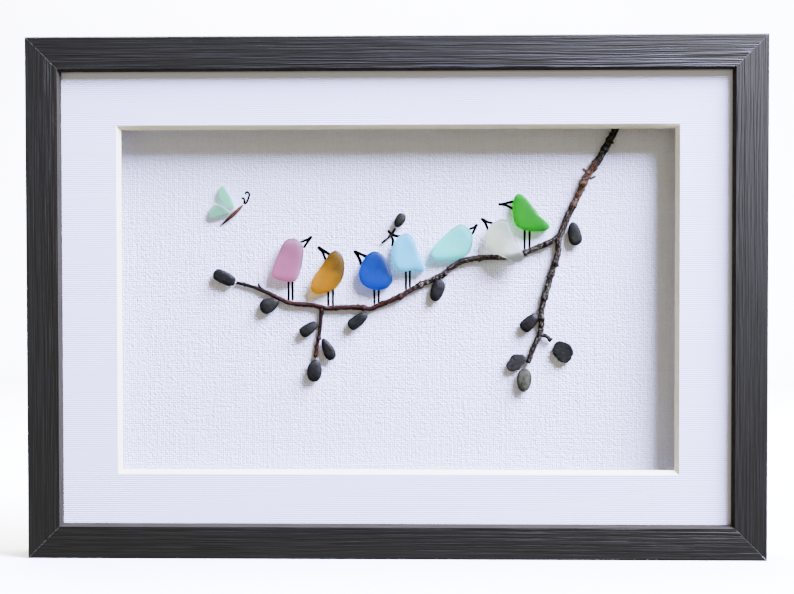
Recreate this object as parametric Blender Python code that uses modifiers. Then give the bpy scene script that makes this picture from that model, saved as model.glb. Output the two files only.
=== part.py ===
"""Framed glass art: seven sea-glass birds on a twig with pebble leaves, behind a white mat.

Units are metres and +Z is up. The front faces -Y. The origin is at the middle of the underside of
the frame. Everything in the picture is placed in millimetres from the picture's middle, as seen from
the front: x to the right, z up.
"""

import math

import bmesh
import bpy
import numpy as np
from mathutils import Matrix, Vector

MM = 0.001

# Frame: four mitred wooden rails with a rebate behind a sloped lip
FRAME_WIDTH = 0.430
FRAME_HEIGHT = 0.304
FRAME_DEPTH = 0.035
RAIL_FACE = 0.0187
LIP_SLOPE_WIDTH = 0.0016
LIP_SLOPE_DROP = 0.0028
LIP_DEPTH = 0.005
RAIL_WALL = 0.0143
RAIL_EDGE = 0.0006

# Gaps: what touches keeps TOUCH_GAP, and what drops into the rebate has REBATE_CLEARANCE all round
TOUCH_GAP = 0.0003
REBATE_CLEARANCE = 0.0008

# Mat: its window is measured at the front of the bevel, which is cut at 45 degrees
MAT_THICKNESS = 0.0025
WINDOW_WIDTH = 0.3275
WINDOW_HEIGHT = 0.2035
WINDOW_RIGHT_OF_CENTRE = 0.0010
WINDOW_BELOW_CENTRE = 0.0011
PICTURE_RIGHT_OF_WINDOW = 0.0006

# Behind the mat: spacers, the canvas board that carries the picture, and the backing board
SPACER_DEPTH = 0.0125
SPACER_WIDTH = 0.0095
CANVAS_THICKNESS = 0.003
BACKING_THICKNESS = 0.003

# Picture pieces
BIRD_THICKNESS = 0.0050
WING_THICKNESS = 0.0026
PEBBLE_THICKNESS = 0.0042
SLATE_THICKNESS = 0.0028
SLATE_EDGE = 0.0004
TRUNK_TOP_DIAMETER = 0.0040
TRUNK_TIP_DIAMETER = 0.0030
SIDE_TWIG_DIAMETER = 0.0015
BOUGH_DIAMETER = 0.0029
PERCH_MIDDLE_DIAMETER = 0.0024
PERCH_END_DIAMETER = 0.0019
PERCH_TIP_DIAMETER = 0.0011
HANGING_TWIG_DIAMETER = 0.0016
SPUR_DIAMETER = 0.0012
SPRIG_DIAMETER = 0.0009
BUTTERFLY_BODY_DIAMETER = 0.0018
BODY_TIP_SHARE = 0.18
BODY_HEADWARD = 0.7
TWIG_KNOT_SWELL = 0.16
TWIG_KNOT_LENGTH = 0.0012
BUD_LENGTH = 0.0024
BUD_WIDTH = 0.0015
BUD_LEAN = 0.8
BUD_OFFSET = 0.8
SHOOT_FLARE = 1.3

# How finely the curved pieces are made
TWIG_RING_SPACING = 0.0036
GLASS_OUTLINE_COUNT = 22
PEBBLE_OUTLINE_COUNT = 11
WING_OUTLINE_COUNT = 14
BODY_POINT_COUNT = 12
SPAN_STEP_COUNT = 16
WELD_DISTANCE = 0.00001
GLASS_INSET = 0.80
PEBBLE_INSET = 0.66

# Depths, front to back
FRONT_Y = -FRAME_DEPTH / 2
MAT_FRONT_Y = FRONT_Y + LIP_DEPTH + TOUCH_GAP
MAT_BACK_Y = MAT_FRONT_Y + MAT_THICKNESS
SPACER_FRONT_Y = MAT_BACK_Y + TOUCH_GAP
SPACER_BACK_Y = SPACER_FRONT_Y + SPACER_DEPTH
CANVAS_FRONT_Y = SPACER_BACK_Y + TOUCH_GAP
CANVAS_BACK_Y = CANVAS_FRONT_Y + CANVAS_THICKNESS
BACKING_FRONT_Y = CANVAS_BACK_Y + TOUCH_GAP
GLUE_Y = CANVAS_FRONT_Y - TOUCH_GAP

# The rebate's opening, and the boards that drop into it
REBATE_WIDTH = FRAME_WIDTH - 2 * RAIL_WALL
REBATE_HEIGHT = FRAME_HEIGHT - 2 * RAIL_WALL
BOARD_WIDTH = REBATE_WIDTH - 2 * REBATE_CLEARANCE
BOARD_HEIGHT = REBATE_HEIGHT - 2 * REBATE_CLEARANCE
FRAME_CENTRE_Z = FRAME_HEIGHT / 2
WINDOW_X = WINDOW_RIGHT_OF_CENTRE
WINDOW_Z = FRAME_CENTRE_Z - WINDOW_BELOW_CENTRE
PICTURE_X = WINDOW_X + PICTURE_RIGHT_OF_WINDOW

# Birds: where each one's middle is, and its outline from there, clockwise from the head
BIRDS = {
    "bird_pink": dict(
        at=(-65.5, 23.2),
        colour=(0.72, 0.40, 0.58),
        outline=((1.2, 12.8), (5.9, 12.1), (9.2, 7.5), (8.8, -0.7), (6.5, -10.0), (3.5, -12.7),
                 (-4.1, -12.0), (-9.2, -9.3), (-8.3, -4.0), (-4.7, 5.2), (-1.5, 11.4)),
    ),
    "bird_amber": dict(
        at=(-41.9, 16.0),
        colour=(0.78, 0.44, 0.03),
        outline=((4.1, 13.0), (8.3, 10.4), (10.0, 4.1), (8.8, -3.5), (5.3, -8.8), (-0.6, -11.8),
                 (-7.2, -12.9), (-10.0, -9.2), (-8.3, -2.9), (-4.1, 3.0), (-0.4, 8.6)),
    ),
    "bird_cobalt": dict(
        at=(-13.5, 17.0),
        colour=(0.02, 0.20, 0.80),
        outline=((0.2, 11.4), (4.9, 8.4), (8.2, 0.4), (10.0, -5.8), (6.5, -10.4), (-0.8, -11.4),
                 (-7.5, -8.3), (-10.0, -2.2), (-8.3, 4.3), (-4.2, 10.0)),
    ),
    "bird_sky": dict(
        at=(6.2, 27.5),
        colour=(0.50, 0.76, 0.90),
        outline=((-1.6, 11.5), (2.3, 8.8), (5.0, 1.2), (9.0, -7.2), (9.7, -10.2), (7.6, -11.4),
                 (2.7, -10.1), (-2.7, -11.1), (-7.8, -8.8), (-9.7, -1.5), (-9.3, 5.2), (-5.6, 9.8)),
    ),
    "bird_aqua": dict(
        at=(31.3, 33.9),
        colour=(0.62, 0.86, 0.84),
        outline=((5.9, 10.5), (10.4, 7.3), (12.4, 2.2), (11.2, -4.1), (8.0, -8.5), (0.0, -10.1),
                 (-8.8, -10.6), (-12.4, -8.3), (-11.1, -3.5), (-5.7, 2.6), (1.2, 8.3)),
    ),
    "bird_clear": dict(
        at=(62.4, 33.7),
        colour=(0.88, 0.90, 0.88),
        outline=((-2.2, 13.0), (1.7, 11.4), (4.0, 5.8), (7.3, -2.0), (11.1, -9.6), (7.5, -12.9),
                 (-0.4, -10.2), (-7.8, -5.5), (-11.1, 1.2), (-8.8, 8.9)),
    ),
    "bird_green": dict(
        at=(77.8, 51.1),
        colour=(0.10, 0.62, 0.12),
        outline=((-7.6, 11.2), (-3.6, 9.2), (0.9, 3.6), (6.0, -3.1), (10.3, -6.4), (10.6, -10.0),
                 (5.6, -11.2), (-2.2, -10.9), (-8.1, -8.4), (-10.5, -3.0), (-10.6, 6.8)),
    ),
}
RAISED_BIRD = "bird_clear"
PERCH_UNDER_RAISED_BIRD_Z = 27.4

# Butterfly: two glass wings and a spindle body
WINGS = {
    "butterfly_wing_upper": dict(
        at=(-101.3, 60.2),
        colour=(0.66, 0.88, 0.80),
        outline=((-2.6, 7.6), (0.9, 3.0), (3.6, -2.4), (4.9, -7.0), (0.2, -5.4), (-4.6, -1.2),
                 (-4.9, 4.2)),
    ),
    "butterfly_wing_lower": dict(
        at=(-105.0, 51.7),
        colour=(0.50, 0.80, 0.70),
        outline=((-3.8, 4.8), (-1.2, 4.5), (2.2, 2.5), (6.0, -0.8), (0.4, -2.8), (-4.9, -3.9),
                 (-7.0, -2.4), (-6.3, 1.6)),
    ),
}
BUTTERFLY_BODY = ((-92.0, 55.7), (-96.4, 51.4), (-100.8, 47.5), (-105.6, 43.4))

# Pebble leaves: the end that meets the twig, the direction it points in degrees from +x, its length
# and width in millimetres, how much wider its far half is, and how square its outline is
PEBBLES = {
    "pebble_leaf_01": dict(tip=(-96.6, 9.7), turn=154, length=14.3, width=7.6, taper=0.03, square=2.8),
    "pebble_leaf_02": dict(tip=(-70.9, -1.0), turn=-156, length=12.0, width=8.5, taper=0.34, square=2.1),
    "pebble_leaf_03": dict(tip=(-48.2, -13.9), turn=-145, length=12.0, width=6.6, taper=0.24, square=2.8),
    "pebble_leaf_04": dict(tip=(-44.9, -22.9), turn=-65, length=14.2, width=6.6, taper=0.36, square=2.1),
    "pebble_leaf_05": dict(tip=(-49.4, -35.6), turn=-94, length=13.2, width=8.8, taper=0.09, square=2.1),
    "pebble_leaf_06": dict(tip=(-18.9, -8.6), turn=-143, length=13.2, width=7.0, taper=0.20, square=2.8),
    "pebble_leaf_07": dict(tip=(24.8, 11.6), turn=-108, length=13.4, width=8.0, taper=-0.08, square=2.3),
    "pebble_leaf_08": dict(tip=(101.9, 45.4), turn=-79, length=14.1, width=7.8, taper=0.20, square=2.3),
    "pebble_leaf_09": dict(tip=(81.5, -9.2), turn=-136, length=12.6, width=7.4, taper=0.20, square=2.8),
    "pebble_leaf_10": dict(tip=(74.3, -40.6), turn=-94, length=14.0, width=8.7, taper=-0.06, square=2.1),
    "pebble_leaf_11": dict(tip=(-1.6, 42.6), turn=60, length=9.2, width=6.0, taper=0.12, square=2.1),
}
OLIVE_PEBBLE = "pebble_leaf_10"
PURPLE_PEBBLE = "pebble_leaf_09"

# Slate leaves: broken flakes with straight sides
SLATES = {
    "slate_leaf_1": dict(
        at=(69.5, -37.0),
        outline=((-2.7, 4.4), (0.3, 5.0), (5.4, 3.2), (4.4, 0.9), (1.5, -3.8), (-0.6, -5.0),
                 (-5.6, -4.4), (-5.0, -0.9)),
    ),
    "slate_leaf_2": dict(
        at=(96.4, -31.0),
        outline=((-3.5, 6.2), (2.4, 5.6), (5.3, 3.2), (6.5, -0.9), (3.5, -6.2), (-0.6, -6.2),
                 (-5.3, -1.5), (-6.3, 1.5)),
    ),
}

# Twigs: each route runs from the thick end; diameters, knots, buds and shoots are placed by their share
# of the twig's length. A bud is on side 1, the left hand on the way along the twig, or on side -1.
TRUNK = dict(
    route=((129.0, 105.0), (124.5, 94.7), (118.2, 83.3), (110.1, 71.5), (106.1, 62.4), (102.1, 54.3),
           (96.8, 42.3), (94.1, 34.9), (93.3, 26.0), (88.5, 10.7), (84.3, -5.8), (83.7, -18.2),
           (79.5, -28.3), (76.2, -37.6)),
    diameters=(TRUNK_TOP_DIAMETER, TRUNK_TIP_DIAMETER),
    diameters_at=(0.0, 1.0),
    knots=(0.12, 0.28, 0.37, 0.60, 0.74, 0.82),
    buds=((0.19, -1), (0.30, 1), (0.61, 1), (0.66, -1), (0.79, -1)),
)
SIDE_TWIG = dict(leaves_at=0.87, route=((86.8, -21.8), (89.6, -24.6)))
TRUNK_SPUR = dict(leaves_at=0.10, route=((124.4, 92.0), (126.0, 91.6)))
PERCH = dict(
    route=((95.2, 37.6), (87.8, 33.1), (77.9, 29.0), (69.7, 25.4), (61.4, 24.7), (49.4, 24.6),
           (38.9, 22.9), (33.7, 20.6), (26.8, 15.2), (20.4, 11.9), (9.9, 7.1), (-0.6, 1.2),
           (-12.5, -3.7), (-16.7, -5.4), (-23.0, -4.7), (-33.2, -4.7), (-42.7, -5.2), (-50.1, -3.5),
           (-64.3, -2.1), (-76.7, 3.6), (-87.3, 7.7), (-95.4, 9.8)),
    diameters=(BOUGH_DIAMETER, BOUGH_DIAMETER, PERCH_MIDDLE_DIAMETER, PERCH_END_DIAMETER,
               PERCH_TIP_DIAMETER, PERCH_TIP_DIAMETER),
    diameters_at=(0.0, 0.42, 0.52, 0.92, 0.96, 1.0),
    knots=(0.05, 0.115, 0.36, 0.44, 0.505, 0.62),
    buds=((0.25, 1), (0.345, -1), (0.372, 1), (0.435, -1), (0.51, 1), (0.635, -1)),
)
HANGING_TWIG = dict(leaves_at=0.740, route=((-46.0, -10.6), (-46.7, -18.8), (-48.3, -27.1),
                                            (-49.4, -34.4)))
PERCH_SPUR = dict(leaves_at=0.926, route=((-82.4, 7.8), (-83.0, 9.4)))
SPRIG_ROUTE = ((-10.0, 33.1), (-6.2, 36.2), (-3.4, 39.4), (-2.1, 41.8))


def clear_scene():
    for thing in list(bpy.data.objects):
        bpy.data.objects.remove(thing, do_unlink=True)


def make_collection(name):
    collection = bpy.data.collections.new(name)
    bpy.context.scene.collection.children.link(collection)
    return collection


def make_material(name, colour, roughness, metallic=0.0):
    material = bpy.data.materials.new(name)
    material.use_nodes = True
    shader = material.node_tree.nodes["Principled BSDF"]
    shader.inputs["Base Color"].default_value = (*colour, 1.0)
    shader.inputs["Roughness"].default_value = roughness
    shader.inputs["Metallic"].default_value = metallic
    return material


def link_object(name, data, collection, material=None):
    thing = bpy.data.objects.new(name, data)
    collection.objects.link(thing)
    if material is not None:
        data.materials.append(material)
    return thing


def picture_place(point, y):
    """A place in the picture, given in millimetres from the picture's middle, as a world point."""
    return Vector((PICTURE_X + point[0] * MM, y, WINDOW_Z + point[1] * MM))


def curve_to_mesh(thing):
    """The curve object as a welded, closed mesh object in the same place."""
    depsgraph = bpy.context.evaluated_depsgraph_get()
    mesh = bpy.data.meshes.new_from_object(thing.evaluated_get(depsgraph))
    solid = bpy.data.objects.new(thing.name, mesh)
    thing.users_collection[0].objects.link(solid)
    solid.matrix_world = thing.matrix_world.copy()
    name = thing.name
    bpy.data.objects.remove(thing, do_unlink=True)
    solid.name = name
    bm = bmesh.new()
    bm.from_mesh(mesh)
    bmesh.ops.remove_doubles(bm, verts=bm.verts, dist=WELD_DISTANCE)
    bmesh.ops.recalc_face_normals(bm, faces=bm.faces)
    bm.to_mesh(mesh)
    bm.free()
    return solid


def box(name, size, centre, collection, material=None):
    """A plain board or strip: a cube brought to size, centred on a point."""
    bpy.ops.mesh.primitive_cube_add(size=1.0, location=centre)
    thing = bpy.context.object
    thing.name = name
    thing.data.name = name
    thing.data.transform(Matrix.Diagonal((*size, 1.0)))
    for other in list(thing.users_collection):
        other.objects.unlink(thing)
    collection.objects.link(thing)
    if material is not None:
        thing.data.materials.append(material)
    return thing


def add_boolean(thing, other, operation):
    modifier = thing.modifiers.new(operation.title(), "BOOLEAN")
    modifier.operation = operation
    modifier.solver = "EXACT"
    modifier.object = other


def mark_as_cutter(thing):
    thing.hide_render = True
    thing.display_type = "WIRE"


def rail_profile():
    """The rail's section: distance in from the outer edge, and depth behind the face."""
    sight = RAIL_FACE + LIP_SLOPE_WIDTH
    return (
        (RAIL_EDGE, 0.0),
        (RAIL_FACE, 0.0),
        (sight, LIP_SLOPE_DROP),
        (sight, LIP_DEPTH),
        (RAIL_WALL, LIP_DEPTH),
        (RAIL_WALL, FRAME_DEPTH),
        (0.0, FRAME_DEPTH),
        (0.0, RAIL_EDGE),
    )


def make_rail(name, length, place, quarter_turns, collection, material):
    """One rail: its section drawn as a flat curve, drawn out to length and mitred at both ends.

    The rail runs along its own z. A mitre at 45 degrees moves each end point inwards by its own
    distance from the outer edge, and half the joint's gap comes off each rail.
    """
    curve = bpy.data.curves.new(name, "CURVE")
    curve.dimensions = "2D"
    curve.fill_mode = "BOTH"
    curve.extrude = length / 2
    spline = curve.splines.new("POLY")
    profile = rail_profile()
    spline.points.add(len(profile) - 1)
    for point, (inward, depth) in zip(spline.points, profile):
        point.co = (inward, depth, 0.0, 1.0)
    spline.use_cyclic_u = True
    rail = curve_to_mesh(link_object(name, curve, collection))
    joint = TOUCH_GAP / math.sqrt(2)
    for vertex in rail.data.vertices:
        side = 1.0 if vertex.co.z > 0 else -1.0
        vertex.co.z = side * (length / 2 - vertex.co.x - joint)
    rail.location = place
    rail.rotation_euler = (0.0, math.radians(90 * quarter_turns), 0.0)
    rail.data.materials.append(material)
    return rail


def make_frame(collection):
    wood = make_material("black_stained_wood", (0.035, 0.036, 0.040), 0.45)
    half = FRAME_WIDTH / 2
    middle = FRAME_CENTRE_Z
    make_rail("frame_rail_bottom", FRAME_WIDTH, (0, FRONT_Y, 0), -1, collection, wood)
    make_rail("frame_rail_top", FRAME_WIDTH, (0, FRONT_Y, FRAME_HEIGHT), 1, collection, wood)
    make_rail("frame_rail_left", FRAME_HEIGHT, (-half, FRONT_Y, middle), 0, collection, wood)
    make_rail("frame_rail_right", FRAME_HEIGHT, (half, FRONT_Y, middle), 2, collection, wood)


def make_mat(collection, cutters):
    """The mat: a board with a window cut through it, its sides bevelled at 45 degrees."""
    card = make_material("white_mat_card", (0.90, 0.91, 0.94), 0.85)
    middle_y = (MAT_FRONT_Y + MAT_BACK_Y) / 2
    size = (BOARD_WIDTH, MAT_THICKNESS, BOARD_HEIGHT)
    mat = box("mat_board", size, (0, middle_y, FRAME_CENTRE_Z), collection, card)
    over = MAT_THICKNESS / 2
    depth = MAT_THICKNESS + 2 * over
    size = (WINDOW_WIDTH, depth, WINDOW_HEIGHT)
    window = box("window_cutter", size, (WINDOW_X, middle_y, WINDOW_Z), cutters)
    for vertex in window.data.vertices:
        behind_front = vertex.co.y + depth / 2 - over
        vertex.co.x -= math.copysign(behind_front, vertex.co.x)
        vertex.co.z -= math.copysign(behind_front, vertex.co.z)
    mark_as_cutter(window)
    add_boolean(mat, window, "DIFFERENCE")


def make_boards(collection):
    card = make_material("white_foam_card", (0.88, 0.88, 0.87), 0.9)
    canvas = make_material("white_canvas", (0.87, 0.87, 0.92), 0.9)
    fibre = make_material("brown_fibreboard", (0.36, 0.25, 0.16), 0.8)
    middle_y = (SPACER_FRONT_Y + SPACER_BACK_Y) / 2
    reach_x = (BOARD_WIDTH - SPACER_WIDTH) / 2
    reach_z = (BOARD_HEIGHT - SPACER_WIDTH) / 2
    long_size = (BOARD_WIDTH, SPACER_DEPTH, SPACER_WIDTH)
    short_size = (SPACER_WIDTH, SPACER_DEPTH, BOARD_HEIGHT - 2 * SPACER_WIDTH - 2 * TOUCH_GAP)
    for name, side in (("spacer_top", 1), ("spacer_bottom", -1)):
        box(name, long_size, (0, middle_y, FRAME_CENTRE_Z + side * reach_z), collection, card)
    for name, side in (("spacer_right", 1), ("spacer_left", -1)):
        box(name, short_size, (side * reach_x, middle_y, FRAME_CENTRE_Z), collection, card)
    size = (BOARD_WIDTH, CANVAS_THICKNESS, BOARD_HEIGHT)
    centre = (0, CANVAS_FRONT_Y + CANVAS_THICKNESS / 2, FRAME_CENTRE_Z)
    box("canvas_board", size, centre, collection, canvas)
    size = (BOARD_WIDTH, BACKING_THICKNESS, BOARD_HEIGHT)
    centre = (0, BACKING_FRONT_Y + BACKING_THICKNESS / 2, FRAME_CENTRE_Z)
    box("backing_board", size, centre, collection, fibre)


def catmull_rom(points, count, closed):
    """A smooth curve through the points, as count points evenly spaced along it."""
    known = np.asarray(points, dtype=float)
    if closed:
        padded = np.vstack((known[-1], known, known[0], known[1]))
    else:
        padded = np.vstack((2 * known[0] - known[1], known, 2 * known[-1] - known[-2]))
    share = np.linspace(0, 1, SPAN_STEP_COUNT, endpoint=False)[:, None]
    spans = []
    for before, start, end, after in zip(padded, padded[1:], padded[2:], padded[3:]):
        rise = (end - before) / 2
        leave = (after - start) / 2
        bend = 3 * (end - start) - 2 * rise - leave
        twist = 2 * (start - end) + rise + leave
        spans.append(start + share * (rise + share * (bend + share * twist)))
    fine = np.vstack(spans + [known[:1] if closed else known[-1:]])
    walked = np.concatenate(([0.0], np.cumsum(np.linalg.norm(np.diff(fine, axis=0), axis=1))))
    stops = np.linspace(0, walked[-1], count, endpoint=not closed)
    return np.stack([np.interp(stops, walked, fine[:, axis]) for axis in (0, 1)], axis=1)


def egg_outline(length, width, taper, square, count):
    """A pebble's outline: a rounded-off oval along +x that grows wider towards its far end."""
    turn = np.linspace(0, 2 * math.pi, count, endpoint=False)
    along = np.sign(np.cos(turn)) * np.abs(np.cos(turn)) ** (2 / square)
    across = np.sign(np.sin(turn)) * np.abs(np.sin(turn)) ** (2 / square)
    across = across * (1 + taper * along)
    return np.stack((along * length / 2, across * width / 2), axis=1)


def cage_around(outline):
    """The ring of cage points whose subdivision surface passes through the outline's own points.

    The surface meets a ring at four parts of a point and one of each neighbour, over six, so the
    cage is what that average has to start from.
    """
    count = len(outline)
    average = np.eye(count) * 4 + np.roll(np.eye(count), 1, axis=0) + np.roll(np.eye(count), -1, axis=0)
    return np.linalg.solve(average / 6, np.asarray(outline))


def worn_piece(name, outline, thickness, inset, collection, material):
    """A worn pebble of glass or stone, lying in its own x-z plane with its back at y = 0.

    The outline, clockwise or not, is the rim of a coarse cage between a smaller front ring and a
    smaller back ring. A subdivision surface rounds it, and the rim stands out by what that takes in.
    """
    rim = (3 - inset) / 2
    outline = cage_around(outline)
    bm = bmesh.new()
    rings = []
    for scale, y in ((inset, -thickness), (rim, -thickness / 2), (inset, 0.0)):
        rings.append([bm.verts.new((x * scale * MM, y, z * scale * MM)) for x, z in outline])
    count = len(outline)
    for near, far in zip(rings, rings[1:]):
        for i in range(count):
            j = (i + 1) % count
            bm.faces.new((near[i], near[j], far[j], far[i]))
    bm.faces.new(rings[0])
    bm.faces.new(rings[-1])
    bmesh.ops.recalc_face_normals(bm, faces=bm.faces)
    mesh = bpy.data.meshes.new(name)
    bm.to_mesh(mesh)
    bm.free()
    mesh.shade_smooth()
    piece = link_object(name, mesh, collection, material)
    rounding = piece.modifiers.new("Rounding", "SUBSURF")
    rounding.levels = 1
    rounding.render_levels = 1
    return piece


def make_birds(collection):
    for name, bird in BIRDS.items():
        glass = make_material(f"{name}_glass", bird["colour"], 0.45)
        outline = catmull_rom(bird["outline"], GLASS_OUTLINE_COUNT, closed=True)
        piece = worn_piece(name, outline, BIRD_THICKNESS, GLASS_INSET, collection, glass)
        piece.location = picture_place(bird["at"], GLUE_Y)
        if name == RAISED_BIRD:
            lean_on_perch(piece, bird)


def lean_on_perch(piece, bird):
    """Tilts a bird about the top of its back, so that its lower half clears the bough behind it."""
    top = max(z for x, z in bird["outline"])
    reach = (bird["at"][1] + top - PERCH_UNDER_RAISED_BIRD_Z) * MM
    swell = BOUGH_DIAMETER * TWIG_KNOT_SWELL
    tilt = math.asin((BOUGH_DIAMETER + swell + 2 * TOUCH_GAP) / reach)
    pivot = picture_place((bird["at"][0], bird["at"][1] + top), GLUE_Y)
    turn = Matrix.Rotation(-tilt, 4, "X")
    piece.location = pivot + turn @ (piece.location - pivot)
    piece.rotation_euler = turn.to_euler()


def make_butterfly(collection):
    for name, wing in WINGS.items():
        glass = make_material(f"{name}_glass", wing["colour"], 0.45)
        outline = catmull_rom(wing["outline"], WING_OUTLINE_COUNT, closed=True)
        piece = worn_piece(name, outline, WING_THICKNESS, GLASS_INSET, collection, glass)
        piece.location = picture_place(wing["at"], GLUE_Y)
    seed = make_material("brown_seed_sliver", (0.28, 0.13, 0.07), 0.6)
    body = catmull_rom(BUTTERFLY_BODY, BODY_POINT_COUNT, closed=False)
    swell = np.sin(math.pi * np.linspace(0, 1, BODY_POINT_COUNT) ** BODY_HEADWARD)
    radii = BUTTERFLY_BODY_DIAMETER / 2 * (BODY_TIP_SHARE + (1 - BODY_TIP_SHARE) * swell)
    make_tube("butterfly_body", body, radii, collection).data.materials.append(seed)


def make_pebbles(collection):
    grey = make_material("grey_black_pebble", (0.045, 0.048, 0.050), 0.55)
    olive = make_material("olive_pebble", (0.075, 0.078, 0.060), 0.55)
    purple = make_material("purple_grey_pebble", (0.075, 0.068, 0.078), 0.6)
    stones = {OLIVE_PEBBLE: olive, PURPLE_PEBBLE: purple}
    for name, pebble in PEBBLES.items():
        sizes = (pebble["length"], pebble["width"], pebble["taper"], pebble["square"])
        outline = egg_outline(*sizes, PEBBLE_OUTLINE_COUNT)
        stone = stones.get(name, grey)
        piece = worn_piece(name, outline, PEBBLE_THICKNESS, PEBBLE_INSET, collection, stone)
        turn = math.radians(pebble["turn"])
        half = pebble["length"] / 2
        middle = (pebble["tip"][0] + half * math.cos(turn), pebble["tip"][1] + half * math.sin(turn))
        piece.location = picture_place(middle, GLUE_Y)
        piece.rotation_euler = (0.0, -turn, 0.0)


def make_slates(collection):
    """Slate flakes: a straight-sided outline drawn out to its thickness, its edges knocked off."""
    stone = make_material("dark_slate", (0.060, 0.066, 0.064), 0.7)
    for name, slate in SLATES.items():
        curve = bpy.data.curves.new(name, "CURVE")
        curve.dimensions = "2D"
        curve.fill_mode = "BOTH"
        curve.extrude = SLATE_THICKNESS / 2
        spline = curve.splines.new("POLY")
        spline.points.add(len(slate["outline"]) - 1)
        for point, (x, z) in zip(spline.points, slate["outline"]):
            point.co = (x * MM, z * MM, 0.0, 1.0)
        spline.use_cyclic_u = True
        flake = curve_to_mesh(link_object(name, curve, collection))
        flake.location = picture_place(slate["at"], GLUE_Y - SLATE_THICKNESS / 2)
        flake.rotation_euler = (math.radians(90), 0.0, 0.0)
        flake.data.materials.append(stone)
        edge = flake.modifiers.new("Knocked edge", "BEVEL")
        edge.width = SLATE_EDGE
        edge.segments = 1


def make_tube(name, path, radii, collection, lift=0.0):
    """A twig lying on the canvas: a round tube along the path, as thick as radii says, capped."""
    curve = bpy.data.curves.new(name, "CURVE")
    curve.dimensions = "3D"
    curve.bevel_depth = 1.0
    curve.bevel_resolution = 2
    curve.use_fill_caps = True
    spline = curve.splines.new("POLY")
    spline.points.add(len(path) - 1)
    for point, place, radius in zip(spline.points, path, radii):
        point.co = (*picture_place(place, GLUE_Y - radius - lift), 1.0)
        point.radius = radius
    tube = curve_to_mesh(link_object(name, curve, collection))
    tube.data.shade_smooth()
    return tube


def smooth_path(route, step):
    """Points about a step apart along the smooth curve through a route's own points."""
    length = sum(math.dist(a, b) for a, b in zip(route, route[1:])) * MM
    return catmull_rom(route, max(3, round(length / step) + 1), closed=False)


def path_length(path):
    return float(np.linalg.norm(np.diff(path, axis=0), axis=1).sum()) * MM


def twig_radii(twig, path):
    """A twig's radius along its length: a taper between its diameters, swollen at its knots."""
    share = np.linspace(0, 1, len(path))
    radii = np.interp(share, twig["diameters_at"], twig["diameters"]) / 2
    for knot in twig["knots"]:
        away = (share - knot) * path_length(path) / TWIG_KNOT_LENGTH
        radii = radii * (1 + TWIG_KNOT_SWELL * np.exp(-away ** 2))
    return radii


def along_twig(path, radii, share):
    """The centre, the radius and the direction of a twig at a share of its length."""
    here = share * (len(path) - 1)
    first = min(int(here), len(path) - 2)
    centre = path[first] + (here - first) * (path[first + 1] - path[first])
    direction = path[first + 1] - path[first]
    radius = float(np.interp(here, np.arange(len(path)), radii))
    return centre, radius, direction / np.linalg.norm(direction)


def make_shoot(name, shoot, width, path, radii, collection):
    """A side shoot that leaves its twig's middle and tapers evenly to its own width."""
    centre, radius, _ = along_twig(path, radii, shoot["leaves_at"])
    route = smooth_path((tuple(centre), *shoot["route"]), TWIG_RING_SPACING)
    widths = np.linspace(width * SHOOT_FLARE, width, len(route))
    lift = max(radius - widths[0] / 2, 0.0)
    tube = make_tube(name, route, widths / 2, collection, lift)
    mark_as_cutter(tube)
    return tube


def make_bud(name, bud, path, radii, collection):
    """A bud: a small pointed ball half sunk in the side of its twig, leaning along it."""
    share, side = bud
    centre, radius, direction = along_twig(path, radii, share)
    outward = side * np.array((-direction[1], direction[0]))
    lean = outward + BUD_LEAN * direction
    place = centre + outward * radius * BUD_OFFSET / MM
    bpy.ops.mesh.primitive_uv_sphere_add(segments=6, ring_count=4, radius=0.5)
    ball = bpy.context.object
    ball.name = name
    ball.data.transform(Matrix.Diagonal((BUD_WIDTH, BUD_WIDTH, BUD_LENGTH, 1.0)))
    ball.location = picture_place(place, GLUE_Y - radius)
    ball.rotation_euler = (0.0, math.atan2(lean[0], lean[1]), 0.0)
    for other in list(ball.users_collection):
        other.objects.unlink(ball)
    collection.objects.link(ball)
    mark_as_cutter(ball)
    return ball


def make_trunk(collection, cutters, bark):
    """The trunk with its side twig, spur and buds, and the cutter that copes the perch to it."""
    path = smooth_path(TRUNK["route"], TWIG_RING_SPACING)
    radii = twig_radii(TRUNK, path)
    trunk = make_tube("trunk_twig", path, radii, collection)
    trunk.data.materials.append(bark)
    cope = make_tube("perch_cope_cutter", path, radii + TOUCH_GAP, cutters, lift=-TOUCH_GAP)
    mark_as_cutter(cope)
    joined = [
        make_shoot("side_twig", SIDE_TWIG, SIDE_TWIG_DIAMETER, path, radii, cutters),
        make_shoot("trunk_spur", TRUNK_SPUR, SPUR_DIAMETER, path, radii, cutters),
    ]
    for number, bud in enumerate(TRUNK["buds"], 1):
        joined.append(make_bud(f"trunk_bud_{number}", bud, path, radii, cutters))
    for other in joined:
        add_boolean(trunk, other, "UNION")
    return cope


def make_perch(collection, cutters, bark, cope):
    """The long twig that the birds sit on, with its hanging twig, spur and buds."""
    path = smooth_path(PERCH["route"], TWIG_RING_SPACING)
    radii = twig_radii(PERCH, path)
    perch = make_tube("perch_twig", path, radii, collection)
    perch.data.materials.append(bark)
    joined = [
        make_shoot("hanging_twig", HANGING_TWIG, HANGING_TWIG_DIAMETER, path, radii, cutters),
        make_shoot("perch_spur", PERCH_SPUR, SPUR_DIAMETER, path, radii, cutters),
    ]
    for number, bud in enumerate(PERCH["buds"], 1):
        joined.append(make_bud(f"perch_bud_{number}", bud, path, radii, cutters))
    for other in joined:
        add_boolean(perch, other, "UNION")
    add_boolean(perch, cope, "DIFFERENCE")


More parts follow.
